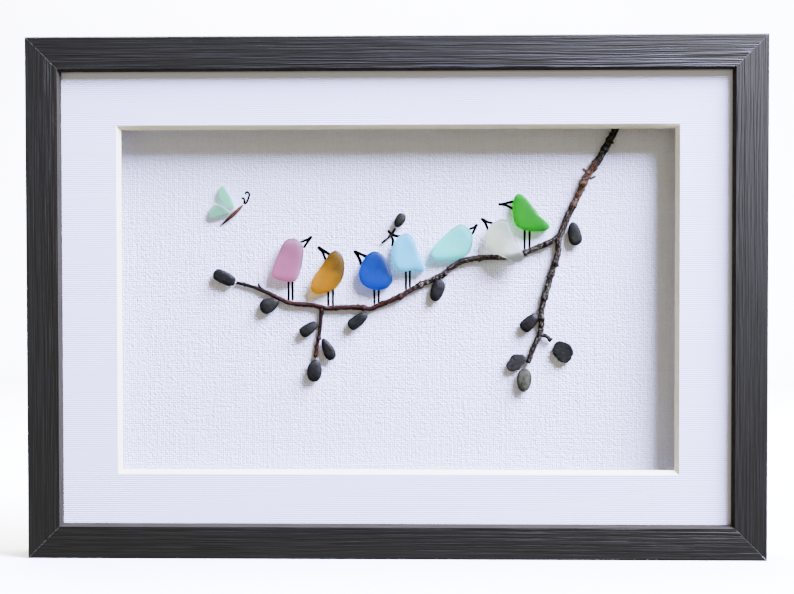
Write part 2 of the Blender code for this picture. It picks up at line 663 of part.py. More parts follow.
def make_twigs(collection, cutters):
    bark = make_material("dark_bark", (0.085, 0.060, 0.052), 0.8)
    red_bark = make_material("red_brown_bark", (0.150, 0.045, 0.040), 0.6)
    cope = make_trunk(collection, cutters, bark)
    make_perch(collection, cutters, red_bark, cope)
    path = smooth_path(SPRIG_ROUTE, TWIG_RING_SPACING)
    radii = np.full(len(path), SPRIG_DIAMETER / 2)
    make_tube("held_sprig", path, radii, collection).data.materials.append(bark)


def main():
    clear_scene()
    art = make_collection("framed_glass_art")
    cutters = make_collection("cutters")
    make_frame(art)
    make_mat(art, cutters)
    make_boards(art)
    make_birds(art)
    make_butterfly(art)
    make_pebbles(art)
    make_slates(art)
    make_twigs(art, cutters)
    bpy.context.view_layer.update()


main()
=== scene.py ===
"""Dresses the framed glass art: brushed black rails, a ribbed mat, woven canvas, frosted glass, worn
stones, bark and pen strokes, each built over its own plain solid.

Units are metres and +Z is up. The front faces -Y. Places in the picture are in millimetres from the
picture's middle, x to the right and z up.
"""

import math

import bpy
import numpy as np
from bpy.props import FloatProperty, FloatVectorProperty, PointerProperty
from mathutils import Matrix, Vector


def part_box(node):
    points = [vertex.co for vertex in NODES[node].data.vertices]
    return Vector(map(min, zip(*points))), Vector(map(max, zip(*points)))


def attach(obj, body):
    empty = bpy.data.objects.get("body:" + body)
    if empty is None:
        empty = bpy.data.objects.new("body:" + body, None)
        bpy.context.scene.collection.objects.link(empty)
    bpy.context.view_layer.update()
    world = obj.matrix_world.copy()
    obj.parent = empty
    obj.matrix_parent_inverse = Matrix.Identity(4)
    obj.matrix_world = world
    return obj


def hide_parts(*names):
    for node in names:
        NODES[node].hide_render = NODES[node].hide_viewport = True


bl_info = {
    "name": "Framed glass art",
    "version": (1, 0, 0),
    "blender": (4, 5, 0),
    "location": "3D View > Sidebar > Glass Art",
    "description": "Builds the looks of a framed picture of sea-glass birds on a twig",
    "category": "Object",
}

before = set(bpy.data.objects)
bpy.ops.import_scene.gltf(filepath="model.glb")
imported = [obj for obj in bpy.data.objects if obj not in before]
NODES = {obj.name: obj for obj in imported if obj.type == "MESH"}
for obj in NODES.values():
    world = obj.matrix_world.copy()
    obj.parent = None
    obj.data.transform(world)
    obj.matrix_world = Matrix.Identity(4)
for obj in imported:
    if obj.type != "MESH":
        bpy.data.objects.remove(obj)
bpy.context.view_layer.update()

MM = 0.001
BODY = "root"

# Sizes that the pieces share with their solids
RAIL_CORNERS = ((0.6, 0.0), (18.7, 0.0), (20.3, 2.8), (20.3, 5.0), (14.3, 5.0), (14.3, 35.0),
                (0.0, 35.0), (0.0, 0.6))
RAIL_END_MIDDLE = (7.0, 4.0)
RAIL_FACE = 18.7
MITRE_CLOSING = 0.17
WINDOW_X = (-0.16275, 0.16475)
WINDOW_Z = (0.04915, 0.25265)
BEVEL = 0.0025
PICTURE_X = 0.0016
PICTURE_Z = 0.1509
CANVAS_Y = 0.0034
GLUE_Y = 0.0031

# For each side of the rail's section: sample spacing in millimetres, share of the grain that it takes,
# and finish, which is 0 brushed, 1 the lip, or 2 the outer sides and back
RAIL_SIDES = ((0.155, 1.0, 0), (0.2, 0.1, 1), (0.5, 0.1, 1), (1.5, 0.1, 1), (3.0, 0.1, 2), (1.5, 0.2, 2),
              (0.6, 0.3, 2), (0.3, 0.1, 0))

# Each rail: its solid, the axis along it, the way to the picture, its share of the grain's depth, seed
RAILS = {
    "rail_bottom": ("frame_rail_bottom", 0, 1, 0.5, 11),
    "rail_top": ("frame_rail_top", 0, -1, 0.95, 23),
    "rail_left": ("frame_rail_left", 2, 1, 0.5, 37),
    "rail_right": ("frame_rail_right", 2, -1, 0.6, 41),
}

# How finely the shapes are divided: counts, and spacings in metres or, on pen strokes, millimetres
RAIL_STATIONS = 150
CURVE_DIVISIONS = 24
MAT_COLUMN_SPACING = 0.016
LINES_IN_A_RIB = 6
CANVAS_LINE_SPACING = 0.0024
WORN_LEVELS = 33
WORN_POINTS = 128
SLATE_POINTS = 200
STROKE_SPACING = 0.16

# Worn pieces: how flat the front and the back are, where 2 is round, then the sizes of the hollows and
# the pits in metres
BIRD_FORM = (4.2, 5.5, 0.0075, 0.0011)
WING_FORM = (3.6, 4.6, 0.0034, 0.0009)
PEBBLE_FORM = (2.7, 3.4, 0.0040, 0.0009)
OUTLINE_SMOOTHING = 1.3
SLATE_FLATNESS = 9.0
SLATE_LEVELS = 4
WING_WEAR = 1.3
CLEAREST = 0.96

# Bark, in millimetres: a knot's swelling and its reach, a bud's reach ahead and behind, the sizes of
# furrows and lumps along and round the twig, the spacing of scars, and how far a broken end stands out
KNOT_SWELL, KNOT_REACH = 0.26, 1.2
BUD_AHEAD, BUD_BEHIND = 0.45, 0.95
FURROW_SIZE = (4.5, 1.1, 1.1)
LUMP_SIZE = (1.5, 2.4, 2.4)
SCAR_SPACING = 0.85
BROKEN_END = 0.15
SLIVER_RADIUS = 1.25
FLAKE_HALF_THICKNESS = 0.11

# How high a flake's root stands from the canvas in millimetres, and a twig in bare radii
FLAKE_BASE = 2.6
HIGHEST_RISE = 1.25

# Colours that no setting holds
WOOD_FLECK = (0.07, 0.068, 0.060)
BARE_WOOD = (0.12, 0.115, 0.10)
BLACK_BARK = (0.0020, 0.0015, 0.0012)

# The stage: the floor runs back, bends up and ends as a wall; lamps are disks that shine at an aim
FLOOR_FRONT, FLOOR_BEND, FLOOR_RADIUS, FLOOR_TOP, FLOOR_HALF_WIDTH = -2.0, 1.3, 0.5, 2.6, 2.4
KEY_LAMP = dict(place=(1.27, -0.60, 1.72), aim=(0.0, 0.0, 0.16), size=1.4, colour=(0.90, 0.94, 1.50))
BACKDROP_LAMP = dict(place=(0.0, 0.45, 1.5), aim=(0.0, 1.7, 0.3), size=1.2)
SHEEN_LAMP = dict(place=(0.58, -1.0, 0.60), aim=(0.2, 0.0, 0.3), size=0.7)
ROOM_COLOUR = (1.0, 0.91, 0.62, 1.0)
CAMERA_PLACE = (0.0338, -1.066, 0.1839)
CAMERA_DEGREES = (88.304, 0.081, 1.781)
CAMERA_LENS = 82.2
CAMERA_SENSOR = 36.0

# Each glass piece: its solid, its material slot, its own tint and the darker tint of its painted shade
GLASS = {
    "pink": ("bird_pink", "pink_glass", (0.46, 0.205, 0.285), (0.36, 0.16, 0.215)),
    "amber": ("bird_amber", "amber_glass", (0.43, 0.24, 0.0), (0.14, 0.078, 0.002)),
    "cobalt": ("bird_cobalt", "cobalt_glass", (0.0, 0.078, 0.35), (0.0, 0.034, 0.17)),
    "sky": ("bird_sky", "sky_glass", (0.12, 0.66, 0.76), (0.10, 0.54, 0.66)),
    "aqua": ("bird_aqua", "aqua_glass", (0.13, 0.80, 0.66), (0.12, 0.67, 0.57)),
    "clear": ("bird_clear", "clear_glass", (0.67, 0.72, 0.53), (0.48, 0.53, 0.39)),
    "green": ("bird_green", "green_glass", (0.0, 0.33, 0.012), (0.0, 0.25, 0.018)),
}
WINGS = {
    "upper": ("butterfly_wing_upper", "mint_glass", (0.26, 0.66, 0.42), (0.20, 0.54, 0.35)),
    "lower": ("butterfly_wing_lower", "mint_glass", (0.25, 0.50, 0.34), (0.18, 0.38, 0.26)),
}

# Stones: each leaf's material slot and colour
STONES = {
    "pebble_leaf_01": ("pebble_grey", (0.0027, 0.0027, 0.0019)),
    "pebble_leaf_02": ("pebble_grey", (0.0032, 0.0033, 0.0022)),
    "pebble_leaf_03": ("pebble_grey", (0.0033, 0.0033, 0.0022)),
    "pebble_leaf_04": ("pebble_grey", (0.0026, 0.0025, 0.0016)),
    "pebble_leaf_05": ("pebble_grey", (0.0027, 0.0027, 0.0019)),
    "pebble_leaf_06": ("pebble_grey", (0.0027, 0.0027, 0.0019)),
    "pebble_leaf_07": ("pebble_grey", (0.0027, 0.0027, 0.0019)),
    "pebble_leaf_08": ("pebble_grey", (0.0032, 0.0034, 0.0018)),
    "pebble_leaf_09": ("pebble_purple", (0.0034, 0.0026, 0.0020)),
    "pebble_leaf_10": ("pebble_olive", (0.0195, 0.0205, 0.0115)),
    "pebble_leaf_11": ("pebble_grey", (0.0034, 0.0031, 0.0014)),
}
SLATES = {
    "slate_leaf_1": (0.0070, 0.0070, 0.0052),
    "slate_leaf_2": (0.0022, 0.0024, 0.0014),
}

# Twigs: their seed, points round and spacing along in millimetres, how far they are lifted to meet their
# parent twig, a route from the thick end, diameters, knots and buds by their share of the length, and
# how red and how black the bark is along it. A bud is (share, side, height in millimetres).
TRUNK = dict(
    seed=201, around=22, spacing=0.42, lifted=0.0,
    route=((129.0, 105.0), (124.5, 94.7), (118.2, 83.3), (110.1, 71.5), (106.1, 62.4), (102.1, 54.3),
           (96.8, 42.3), (94.1, 34.9), (93.3, 26.0), (88.5, 10.7), (84.3, -5.8), (83.7, -18.2),
           (79.5, -28.3), (76.2, -37.6)),
    diameters=((0.0, 4.0), (1.0, 3.0)),
    knots=(0.12, 0.28, 0.37, 0.60, 0.74, 0.82),
    buds=((0.085, -1, 0.8), (0.19, -1, 0.8), (0.30, 1, 0.9), (0.405, -1, 0.6), (0.61, 1, 1.0),
          (0.66, -1, 0.8), (0.72, -1, 0.7), (0.79, -1, 1.0), (0.90, 1, 0.6)),
    red=((0.17, 0.0), (0.21, 0.9), (0.33, 0.7), (0.40, 0.15), (0.55, 0.1), (1.0, 0.04)),
    black=((0.0, 0.2), (0.18, 0.3), (0.4, 0.2), (1.0, 0.3)),
)
SIDE_TWIG = dict(
    seed=205, around=14, spacing=0.3, lifted=0.6,
    route=((83.0, -21.0), (86.8, -21.8), (89.6, -24.6)),
    diameters=((0.0, 2.3), (1.0, 1.8)),
    knots=(0.9,),
    buds=((0.9, 1, 0.3),),
    red=((0.0, 0.1), (1.0, 0.1)),
    black=((0.0, 0.4), (1.0, 0.9)),
)
TRUNK_SPUR = dict(
    seed=207, around=12, spacing=0.25, lifted=1.0,
    route=((123.4, 92.6), (124.4, 92.0), (126.0, 91.6)),
    diameters=((0.0, 1.5), (1.0, 1.2)),
    knots=(),
    buds=(),
    red=((0.0, 0.0), (1.0, 0.0)),
    black=((0.0, 0.4), (1.0, 0.6)),
)
PERCH = dict(
    seed=221, around=22, spacing=0.42, lifted=0.0,
    route=((95.2, 37.6), (87.8, 33.1), (77.9, 29.0), (69.7, 25.4), (61.4, 24.7), (49.4, 24.6),
           (38.9, 22.9), (33.7, 20.6), (26.8, 15.2), (20.4, 11.9), (9.9, 7.1), (-0.6, 1.2),
           (-12.5, -3.7), (-16.7, -5.4), (-23.0, -4.7), (-33.2, -4.7), (-42.7, -5.2), (-50.1, -3.5),
           (-64.3, -2.1), (-76.7, 3.6), (-87.3, 7.7), (-96.1, 10.0)),
    diameters=((0.0, 3.1), (0.42, 3.1), (0.52, 2.9), (0.88, 2.5), (0.94, 1.7), (1.0, 1.7)),
    knots=(0.05, 0.115, 0.36, 0.44, 0.505, 0.62),
    buds=((0.07, -1, 0.5), (0.15, 1, 0.4), (0.25, 1, 0.7), (0.345, -1, 0.9), (0.372, 1, 0.8),
          (0.435, -1, 0.7), (0.51, 1, 0.8), (0.56, -1, 0.4), (0.635, -1, 0.8), (0.70, 1, 0.4),
          (0.975, 1, 0.6), (0.978, -1, 0.6)),
    red=((0.0, 0.15), (0.40, 0.3), (0.55, 0.8), (0.92, 0.9), (0.95, 0.2), (1.0, 0.0)),
    black=((0.0, 0.2), (0.5, 0.1), (0.6, 0.25), (0.88, 0.4), (0.92, 1.0), (1.0, 1.0)),
)
HANGING_TWIG = dict(
    seed=225, around=16, spacing=0.36, lifted=0.0,
    route=((-45.6, -5.0), (-46.0, -10.6), (-46.7, -18.8), (-48.3, -27.1), (-49.4, -34.4)),
    diameters=((0.0, 2.3), (1.0, 1.9)),
    knots=(0.05, 0.62, 0.95),
    buds=((0.12, 1, 0.6), (0.62, 1, 0.5), (0.80, -1, 0.5)),
    red=((0.0, 0.6), (0.6, 0.6), (0.75, 1.0), (1.0, 1.0)),
    black=((0.0, 0.7), (0.6, 0.6), (0.75, 0.1), (1.0, 0.0)),
)
PERCH_SPUR = dict(
    seed=227, around=12, spacing=0.25, lifted=0.2,
    route=((-79.8, 5.0), (-82.4, 7.8), (-83.0, 9.4)),
    diameters=((0.0, 1.5), (1.0, 1.2)),
    knots=(),
    buds=(),
    red=((0.0, 0.8), (1.0, 0.6)),
    black=((0.0, 0.3), (1.0, 0.3)),
)
SPRIG = dict(
    seed=231, around=12, spacing=0.25, lifted=0.0,
    route=((-10.0, 33.1), (-6.2, 36.2), (-3.4, 39.4), (-2.1, 41.8)),
    diameters=((0.0, 1.1), (1.0, 1.2)),
    knots=(0.2, 0.5, 0.85),
    buds=(),
    red=((0.0, 0.1), (1.0, 0.1)),
    black=((0.0, 0.5), (1.0, 0.9)),
)
BODY_SLIVER = dict(
    route=((-92.0, 55.7), (-96.4, 51.4), (-100.8, 47.5), (-105.6, 43.4)),
    red=((0.0, 1.0), (0.6, 0.9), (1.0, 0.3)),
    black=((0.0, 0.0), (0.55, 0.1), (0.80, 0.9), (1.0, 1.0)),
)

# Loose bark on the trunk: root and tip in the picture, width, and how far the tip stands off
FLAKES = (
    ((111.6, 74.0), (107.6, 76.6), 2.0, 1.3),
    ((113.0, 74.4), (117.0, 76.8), 1.7, 1.0),
    ((110.4, 67.6), (107.0, 72.0), 1.6, 1.0),
    ((112.0, 70.4), (115.8, 72.2), 1.4, 0.9),
    ((112.8, 77.0), (114.4, 80.8), 1.5, 0.9),
    ((105.6, 57.2), (102.6, 59.6), 1.2, 0.7),
)

# Pen strokes on the canvas: (width at the start, width at the end, points)
PEN_STROKES = (
    (1.15, 1.15, ((-90.8, 56.1), (-89.6, 57.9), (-88.7, 60.2), (-88.3, 62.0), (-89.4, 63.4),
                  (-90.4, 63.0), (-90.6, 61.9))),
    (1.15, 1.15, ((-91.6, 56.3), (-91.2, 57.9), (-91.6, 59.7), (-92.4, 59.8), (-92.8, 59.2))),
    (1.5, 1.45, ((-51.3, 37.2), (-54.0, 35.3), (-58.6, 33.6))),
    (1.5, 1.45, ((-51.3, 37.2), (-53.6, 34.3), (-56.2, 30.4))),
    (1.33, 1.33, ((-65.3, 11.5), (-65.2, 5.0), (-65.3, -0.8))),
    (1.33, 1.33, ((-62.9, 11.5), (-62.9, 5.0), (-62.8, -0.8))),
    (1.75, 1.9, ((-47.9, 31.0), (-45.0, 29.2), (-40.5, 26.2))),
    (1.75, 1.45, ((-47.9, 31.0), (-45.0, 27.8), (-43.0, 22.5))),
    (1.33, 1.33, ((-41.7, 6.0), (-41.7, 0.0), (-41.8, -4.2))),
    (1.33, 1.33, ((-38.9, 7.0), (-38.9, 1.0), (-38.9, -3.5), (-38.2, -4.5))),
    (1.6, 1.9, ((-26.5, 28.7), (-23.5, 27.2), (-18.5, 24.8))),
    (1.6, 2.05, ((-26.5, 28.7), (-23.8, 25.0), (-21.8, 20.0))),
    (1.25, 1.25, ((-14.5, 7.5), (-14.5, 1.0), (-14.5, -3.1))),
    (1.25, 1.25, ((-11.9, 7.5), (-11.9, 1.0), (-11.9, -2.3))),
    (1.9, 1.45, ((1.6, 36.9), (-2.4, 37.6), (-5.0, 39.0), (-6.5, 40.8))),
    (1.5, 1.45, ((-3.9, 31.2), (-3.5, 35.0), (-4.7, 37.8))),
    (1.25, 1.25, ((4.2, 17.5), (4.2, 10.0), (4.2, 5.4))),
    (1.25, 1.25, ((6.5, 17.5), (6.5, 11.0), (6.5, 6.8))),
    (1.5, 1.45, ((46.3, 44.3), (44.4, 42.4), (41.4, 41.3))),
    (1.5, 1.45, ((46.3, 44.3), (44.8, 41.4), (43.1, 38.0))),
    (1.5, 1.6, ((48.6, 47.7), (51.6, 45.8), (55.8, 44.4))),
    (1.5, 1.6, ((48.6, 47.7), (51.0, 44.8), (52.7, 40.6))),
    (1.5, 1.45, ((58.6, 55.9), (62.5, 56.4), (67.6, 57.6))),
    (1.5, 1.45, ((58.6, 55.9), (63.0, 55.3), (67.6, 53.0))),
    (1.33, 1.33, ((74.1, 41.5), (74.1, 35.0), (74.1, 28.9))),
    (1.33, 1.33, ((77.0, 41.5), (77.0, 35.0), (77.0, 29.8), (78.4, 28.6))),
)


class GlassArtWood(bpy.types.PropertyGroup):
    grain_depth: FloatProperty(name="Grain depth", description="Deepest furrow of the brushed grain",
                               default=0.00026, min=0.0, max=0.0005, unit="LENGTH")
    grain_spacing: FloatProperty(name="Grain spacing", default=0.46, min=0.1, max=3.0,
                                 description="Width of one grain line in millimetres")
    stain: FloatVectorProperty(name="Stain", description="Colour of the black stain",
                               default=(0.0009, 0.0009, 0.0008), subtype="COLOR")
    worn: FloatVectorProperty(name="Worn stain", description="Colour of the stain on the raised grain",
                              default=(0.0048, 0.0049, 0.0044), subtype="COLOR")
    lip: FloatVectorProperty(name="Lip", description="Colour of the smooth inner lip",
                             default=(0.0230, 0.0205, 0.0150), subtype="COLOR")


class GlassArtCard(bpy.types.PropertyGroup):
    rib_spacing: FloatProperty(name="Rib spacing", description="Distance from one laid rib to the next",
                               default=0.00119, min=0.0005, unit="LENGTH")
    rib_height: FloatProperty(name="Rib height", description="Height of the mat's laid ribs",
                              default=0.00014, min=0.0, unit="LENGTH")
    face: FloatVectorProperty(name="Face", description="Colour of the mat's face",
                              default=(0.725, 0.735, 0.97), subtype="COLOR")
    core: FloatVectorProperty(name="Core", description="Colour of the mat's cut core",
                              default=(0.84, 0.78, 0.52), subtype="COLOR")


class GlassArtCanvas(bpy.types.PropertyGroup):
    thread_spacing: FloatProperty(name="Thread spacing", description="Distance between threads",
                                  default=0.00124, min=0.0004, unit="LENGTH")
    hollow: FloatProperty(name="Hollows", description="Depth of the canvas's soft unevenness",
                          default=0.00008, min=0.0, unit="LENGTH")
    colour: FloatVectorProperty(name="Canvas", description="Colour of the primed canvas",
                                default=(0.765, 0.775, 0.97), subtype="COLOR")


class GlassArtGlass(bpy.types.PropertyGroup):
    frost: FloatProperty(name="Frost", description="Roughness of the worn glass",
                         default=0.42, min=0.0, max=1.0, subtype="FACTOR")
    clearness: FloatProperty(name="Clearness", description="Share of the light that passes through",
                             default=0.75, min=0.0, max=1.0, subtype="FACTOR")
    wear: FloatProperty(name="Wear", description="Depth of the hollows that the sea has worn",
                        default=0.00022, min=0.0, unit="LENGTH")


class GlassArtStone(bpy.types.PropertyGroup):
    wear: FloatProperty(name="Wear", description="Depth of the hollows in the pebbles",
                        default=0.00046, min=0.0, unit="LENGTH")
    cleft: FloatProperty(name="Cleft", description="Height of the steps in the slate",
                         default=0.00045, min=0.0, unit="LENGTH")


class GlassArtBark(bpy.types.PropertyGroup):
    furrow: FloatProperty(name="Furrows", default=0.25, min=0.0, max=0.4, subtype="FACTOR",
                          description="Depth of the bark's furrows as a share of the radius")
    brown: FloatVectorProperty(name="Bark", description="Colour of the dark bark",
                               default=(0.0032, 0.0019, 0.0010), subtype="COLOR")
    red: FloatVectorProperty(name="Red bark", description="Colour of the red bark",
                             default=(0.026, 0.0034, 0.0011), subtype="COLOR")
    rust: FloatVectorProperty(name="Loose bark", description="Colour of the loose bark on the trunk",
                              default=(0.088, 0.027, 0.0060), subtype="COLOR")
    husk: FloatVectorProperty(name="Husk", description="Colour of the butterfly's body",
                              default=(0.070, 0.026, 0.014), subtype="COLOR")
    speck: FloatVectorProperty(name="Specks", description="Colour of the pale specks and scars",
                               default=(0.150, 0.145, 0.105), subtype="COLOR")


class GlassArtInk(bpy.types.PropertyGroup):
    film: FloatProperty(name="Ink film", description="Thickness of the ink on the canvas",
                        default=0.00005, min=0.00001, unit="LENGTH")
    colour: FloatVectorProperty(name="Ink", description="Colour of the pen",
                                default=(0.0009, 0.0008, 0.0006), subtype="COLOR")


class GlassArtStage(bpy.types.PropertyGroup):
    key: FloatProperty(name="Key light", description="Power of the window-like light, upper right",
                       default=735.0, min=0.0, unit="POWER")
    fill: FloatProperty(name="Fill", description="Strength of the light from all round",
                        default=0.56, min=0.0)
    sheen: FloatProperty(name="Wall sheen", default=11.0, min=0.0, unit="POWER",
                         description="Power of the pale wall that shows in the gloss only")
    backdrop: FloatProperty(name="Backdrop light", description="Power of the light on the backdrop",
                            default=330.0, min=0.0, unit="POWER")


SETTINGS = {
    "glass_art_wood": GlassArtWood,
    "glass_art_card": GlassArtCard,
    "glass_art_canvas": GlassArtCanvas,
    "glass_art_glass": GlassArtGlass,
    "glass_art_stone": GlassArtStone,
    "glass_art_bark": GlassArtBark,
    "glass_art_ink": GlassArtInk,
    "glass_art_stage": GlassArtStage,
}


# Shapes

def value_noise(places, seed):
    """Smooth random numbers from -1 to 1: a fixed random number at each whole place, and between
    places the eight nearest blended by 3t^2 - 2t^3 along each axis. The fixed number comes from the
    place and the seed, multiplied by large odd numbers and folded onto itself."""
    cell = np.floor(places).astype(np.int64)
    part = places - cell
    part = part * part * (3 - 2 * part)
    total = np.zeros(places.shape[:-1])
    for corner in np.ndindex(2, 2, 2):
        x, y, z = np.moveaxis(cell + corner, -1, 0)
        key = (x * 374761393 + y * 668265263 + z * 2147483647 + seed * 1274126177) & 0xFFFFFFFF
        key = ((key ^ (key >> 13)) * 1103515245) & 0xFFFFFFFF
        key = ((key ^ (key >> 16)) * 2246822519) & 0xFFFFFFFF
        number = ((key ^ (key >> 15)) & 0xFFFFFF) / 0xFFFFFF
        weight = np.prod(np.where(corner, part, 1 - part), axis=-1)
        total += weight * number
    return 2 * total - 1


def layered_noise(places, seed, layers=3):
    """Value noise with finer, weaker layers: each has half the size and half the height."""
    total = np.zeros(places.shape[:-1])
    for layer in range(layers):
        total += value_noise(places * 2 ** layer, seed + layer) / 2 ** layer
    return total


def stacked(*parts):
    """Arrays broadcast together and stacked on a new last axis."""
    return np.stack(np.broadcast_arrays(*parts), axis=-1)


def full_turn(count):
    """Evenly spaced angles once round, in radians."""
    return np.linspace(0, 2 * math.pi, count, endpoint=False)


def unit(vectors):
    """Each vector on the last axis, at length 1."""
    return vectors / np.maximum(np.linalg.norm(vectors, axis=-1, keepdims=True), 1e-12)


def walked_along(points):
    """The distance walked along a run of points, at each of them."""
    return np.concatenate(([0.0], np.cumsum(np.linalg.norm(np.diff(points, axis=0), axis=1))))


def inside_out(points, faces):
    """Whether the faces look inwards: the sum over them of a dot b cross c, where a, b and c are their
    first three corners, is negative. For triangles it is six times the volume that they close in."""
    a, b, c = (points[faces[:, i]] for i in range(3))
    return np.einsum("ij,ij->", a, np.cross(b, c)) < 0


def grid_faces(rows, columns, wrap_columns=False):
    """The four corners of each cell of a grid of numbered points, wrapped where its rows close."""
    number = np.arange(rows * columns).reshape(rows, columns)
    if wrap_columns:
        number = np.hstack((number, number[:, :1]))
    corners = (number[:-1, :-1], number[:-1, 1:], number[1:, 1:], number[1:, :-1])
    return np.stack([corner.ravel() for corner in corners], axis=1)


def shell(grid, ends, extra):
    """A closed shell from a grid whose columns wrap round: its points, faces and attributes.

    Each end row is closed by a fan to one point in ends, which takes the mean of the row's attributes.
    The faces point outwards.
    """
    rows, columns = grid.shape[:2]
    points = np.vstack((grid.reshape(-1, 3), ends))
    quads = grid_faces(rows, columns, wrap_columns=True)
    first = np.arange(columns)
    after = (first + 1) % columns
    last_row = (rows - 1) * columns
    start_end = np.full(columns, rows * columns)
    start = np.stack((after, first, start_end), axis=1)
    finish = np.stack((first + last_row, after + last_row, start_end + 1), axis=1)
    fans = np.vstack((start, finish))
    if inside_out(points, np.vstack((quads[:, [0, 1, 2]], quads[:, [0, 2, 3]], fans))):
        quads, fans = quads[:, ::-1], fans[:, ::-1]
    spread = {}
    for name, values in extra.items():
        flat = values.reshape(rows, columns, -1)
        spread[name] = np.vstack((flat.reshape(rows * columns, -1), flat[[0, -1]].mean(axis=1)))
    return points, quads, fans, spread


def build_mesh(name, shells, material, nodes=()):
    """One object from closed shells, at the origin and unturned, that rides with the frame."""
    points, quads, fans, spread, count = [], [], [], {}, 0
    for part_points, part_quads, part_fans, part_spread in shells:
        points.append(part_points)
        quads.append(part_quads + count)
        fans.append(part_fans + count)
        count += len(part_points)
        for key, values in part_spread.items():
            spread.setdefault(key, []).append(values)
    mesh = bpy.data.meshes.new(name)
    faces = np.vstack(quads).tolist() + np.vstack(fans).tolist()
    mesh.from_pydata(np.vstack(points).tolist(), [], faces)
    for key, values in spread.items():
        values = np.vstack(values)
        kind, field = ("FLOAT_VECTOR", "vector") if values.shape[1] == 3 else ("FLOAT", "value")
        attribute = mesh.attributes.new(key, kind, "POINT")
        attribute.data.foreach_set(field, values.astype(np.float32).ravel())
    mesh.shade_smooth()
    return place_piece(name, mesh, material, nodes)


def place_piece(name, mesh, material, nodes):
    """Links a finished mesh, gives it its material and lets it stand for its solids."""
    mesh.materials.append(material)
    piece = bpy.data.objects.new(name, mesh)
    bpy.context.scene.collection.objects.link(piece)
    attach(piece, BODY)
    if nodes:
        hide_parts(*nodes)
    return piece


def grid_normals(grid):
    """Unit normals of a grid whose columns wrap: the cross product of the two central differences."""
    down = np.gradient(grid, axis=0)
    across = np.roll(grid, -1, axis=1) - np.roll(grid, 1, axis=1)
    normal = unit(np.cross(down, across))
    return normal * np.sign(np.einsum("ijk,ijk->", normal, grid - grid.mean(axis=(0, 1))))


def smooth_curve(points, spacing):
    """Points a spacing apart along the curve through the given points.

    Between two points it is the cubic that passes through both and runs, at each, along the line
    from the point before to the point after; the run is then walked at even distances.
    """
    known = np.asarray(points, dtype=float)
    padded = np.vstack((2 * known[0] - known[1], known, 2 * known[-1] - known[-2]))
    share = np.linspace(0, 1, CURVE_DIVISIONS, endpoint=False)[:, None]
    spans = []
    for before, start, end, after in zip(padded, padded[1:], padded[2:], padded[3:]):
        rise = (end - before) / 2
        leave = (after - start) / 2
        bend = 3 * (end - start) - 2 * rise - leave
        twist = 2 * (start - end) + rise + leave
        spans.append(start + share * (rise + share * (bend + share * twist)))
    fine = np.vstack(spans + [known[-1:]])
    walked = walked_along(fine)
    stops = np.linspace(0, walked[-1], max(4, round(walked[-1] / spacing)))
    return np.stack([np.interp(stops, walked, fine[:, axis]) for axis in range(fine.shape[1])], axis=1)


def sweep(path, side, up, wide, high):
    """A tube: ring i, turn a is path[i] + wide * cos(a) * side[i] + high * sin(a) * up[i]."""
    turn = full_turn(wide.shape[1])
    return (path[:, None, :] + (wide * np.cos(turn))[..., None] * side[:, None, :]
            + (high * np.sin(turn))[..., None] * up[:, None, :])


def picture_points(flat, y):
    """Places in the picture, in millimetres, as world points at the depth y."""
    return stacked(PICTURE_X + flat[:, 0] * MM, y, PICTURE_Z + flat[:, 1] * MM)


def canvas_axes(flat):
    """A run of places in the picture: its direction at each, and as world vectors the direction across
    it and the one away from the canvas."""
    along = unit(np.gradient(flat, axis=0))
    return along, stacked(-along[:, 1], 0.0, along[:, 0]), np.tile((0.0, -1.0, 0.0), (len(flat), 1))


# Rails

def rail_samples():
    """The rail's section walked round: places as (inward, depth), outward normals, distance walked,
    how much grain each place takes, and the finish of the strip that it starts. Corners take the mean
    of their two sides' normals."""
    corners = np.array(RAIL_CORNERS)
    samples = []
    for start, end, (spacing, share, finish) in zip(corners, np.roll(corners, -1, axis=0), RAIL_SIDES):
        run = end - start
        count = max(1, round(np.linalg.norm(run) / spacing))
        samples.append((start + np.arange(count)[:, None] / count * run,
                        np.tile((run[1], -run[0]) / np.linalg.norm(run), (count, 1)),
                        np.full(count, share), np.full(count, finish)))
    places, normals, shares, finishes = (np.concatenate(kind) for kind in zip(*samples))
    return places, unit(normals + np.roll(normals, 1, axis=0)), walked_along(places), shares, finishes


def brushed_grain(along, across, spacing, seed):
    """Height of brushed grain from 0, a furrow, to 1: fine lines over broad ones, both drawn out along
    the rail, with the lines wandering sideways by a slow noise and a quick one. Lengths are in
    millimetres."""
    slow_wander = 0.8 * value_noise(stacked(along / 60, across / 30, 0.5), seed)
    quick_wander = 0.10 * value_noise(stacked(along / 9, across / 12, 1.5), seed + 1)
    bent = across + (slow_wander + quick_wander)
    lines = value_noise(stacked(bent / spacing, along / 26, 2.5), seed + 2)
    broad = value_noise(stacked(bent / (spacing * 4), along / 50, 3.5), seed + 3)
    return np.clip(0.5 + 0.95 * lines + 0.2 * broad, 0, 1)


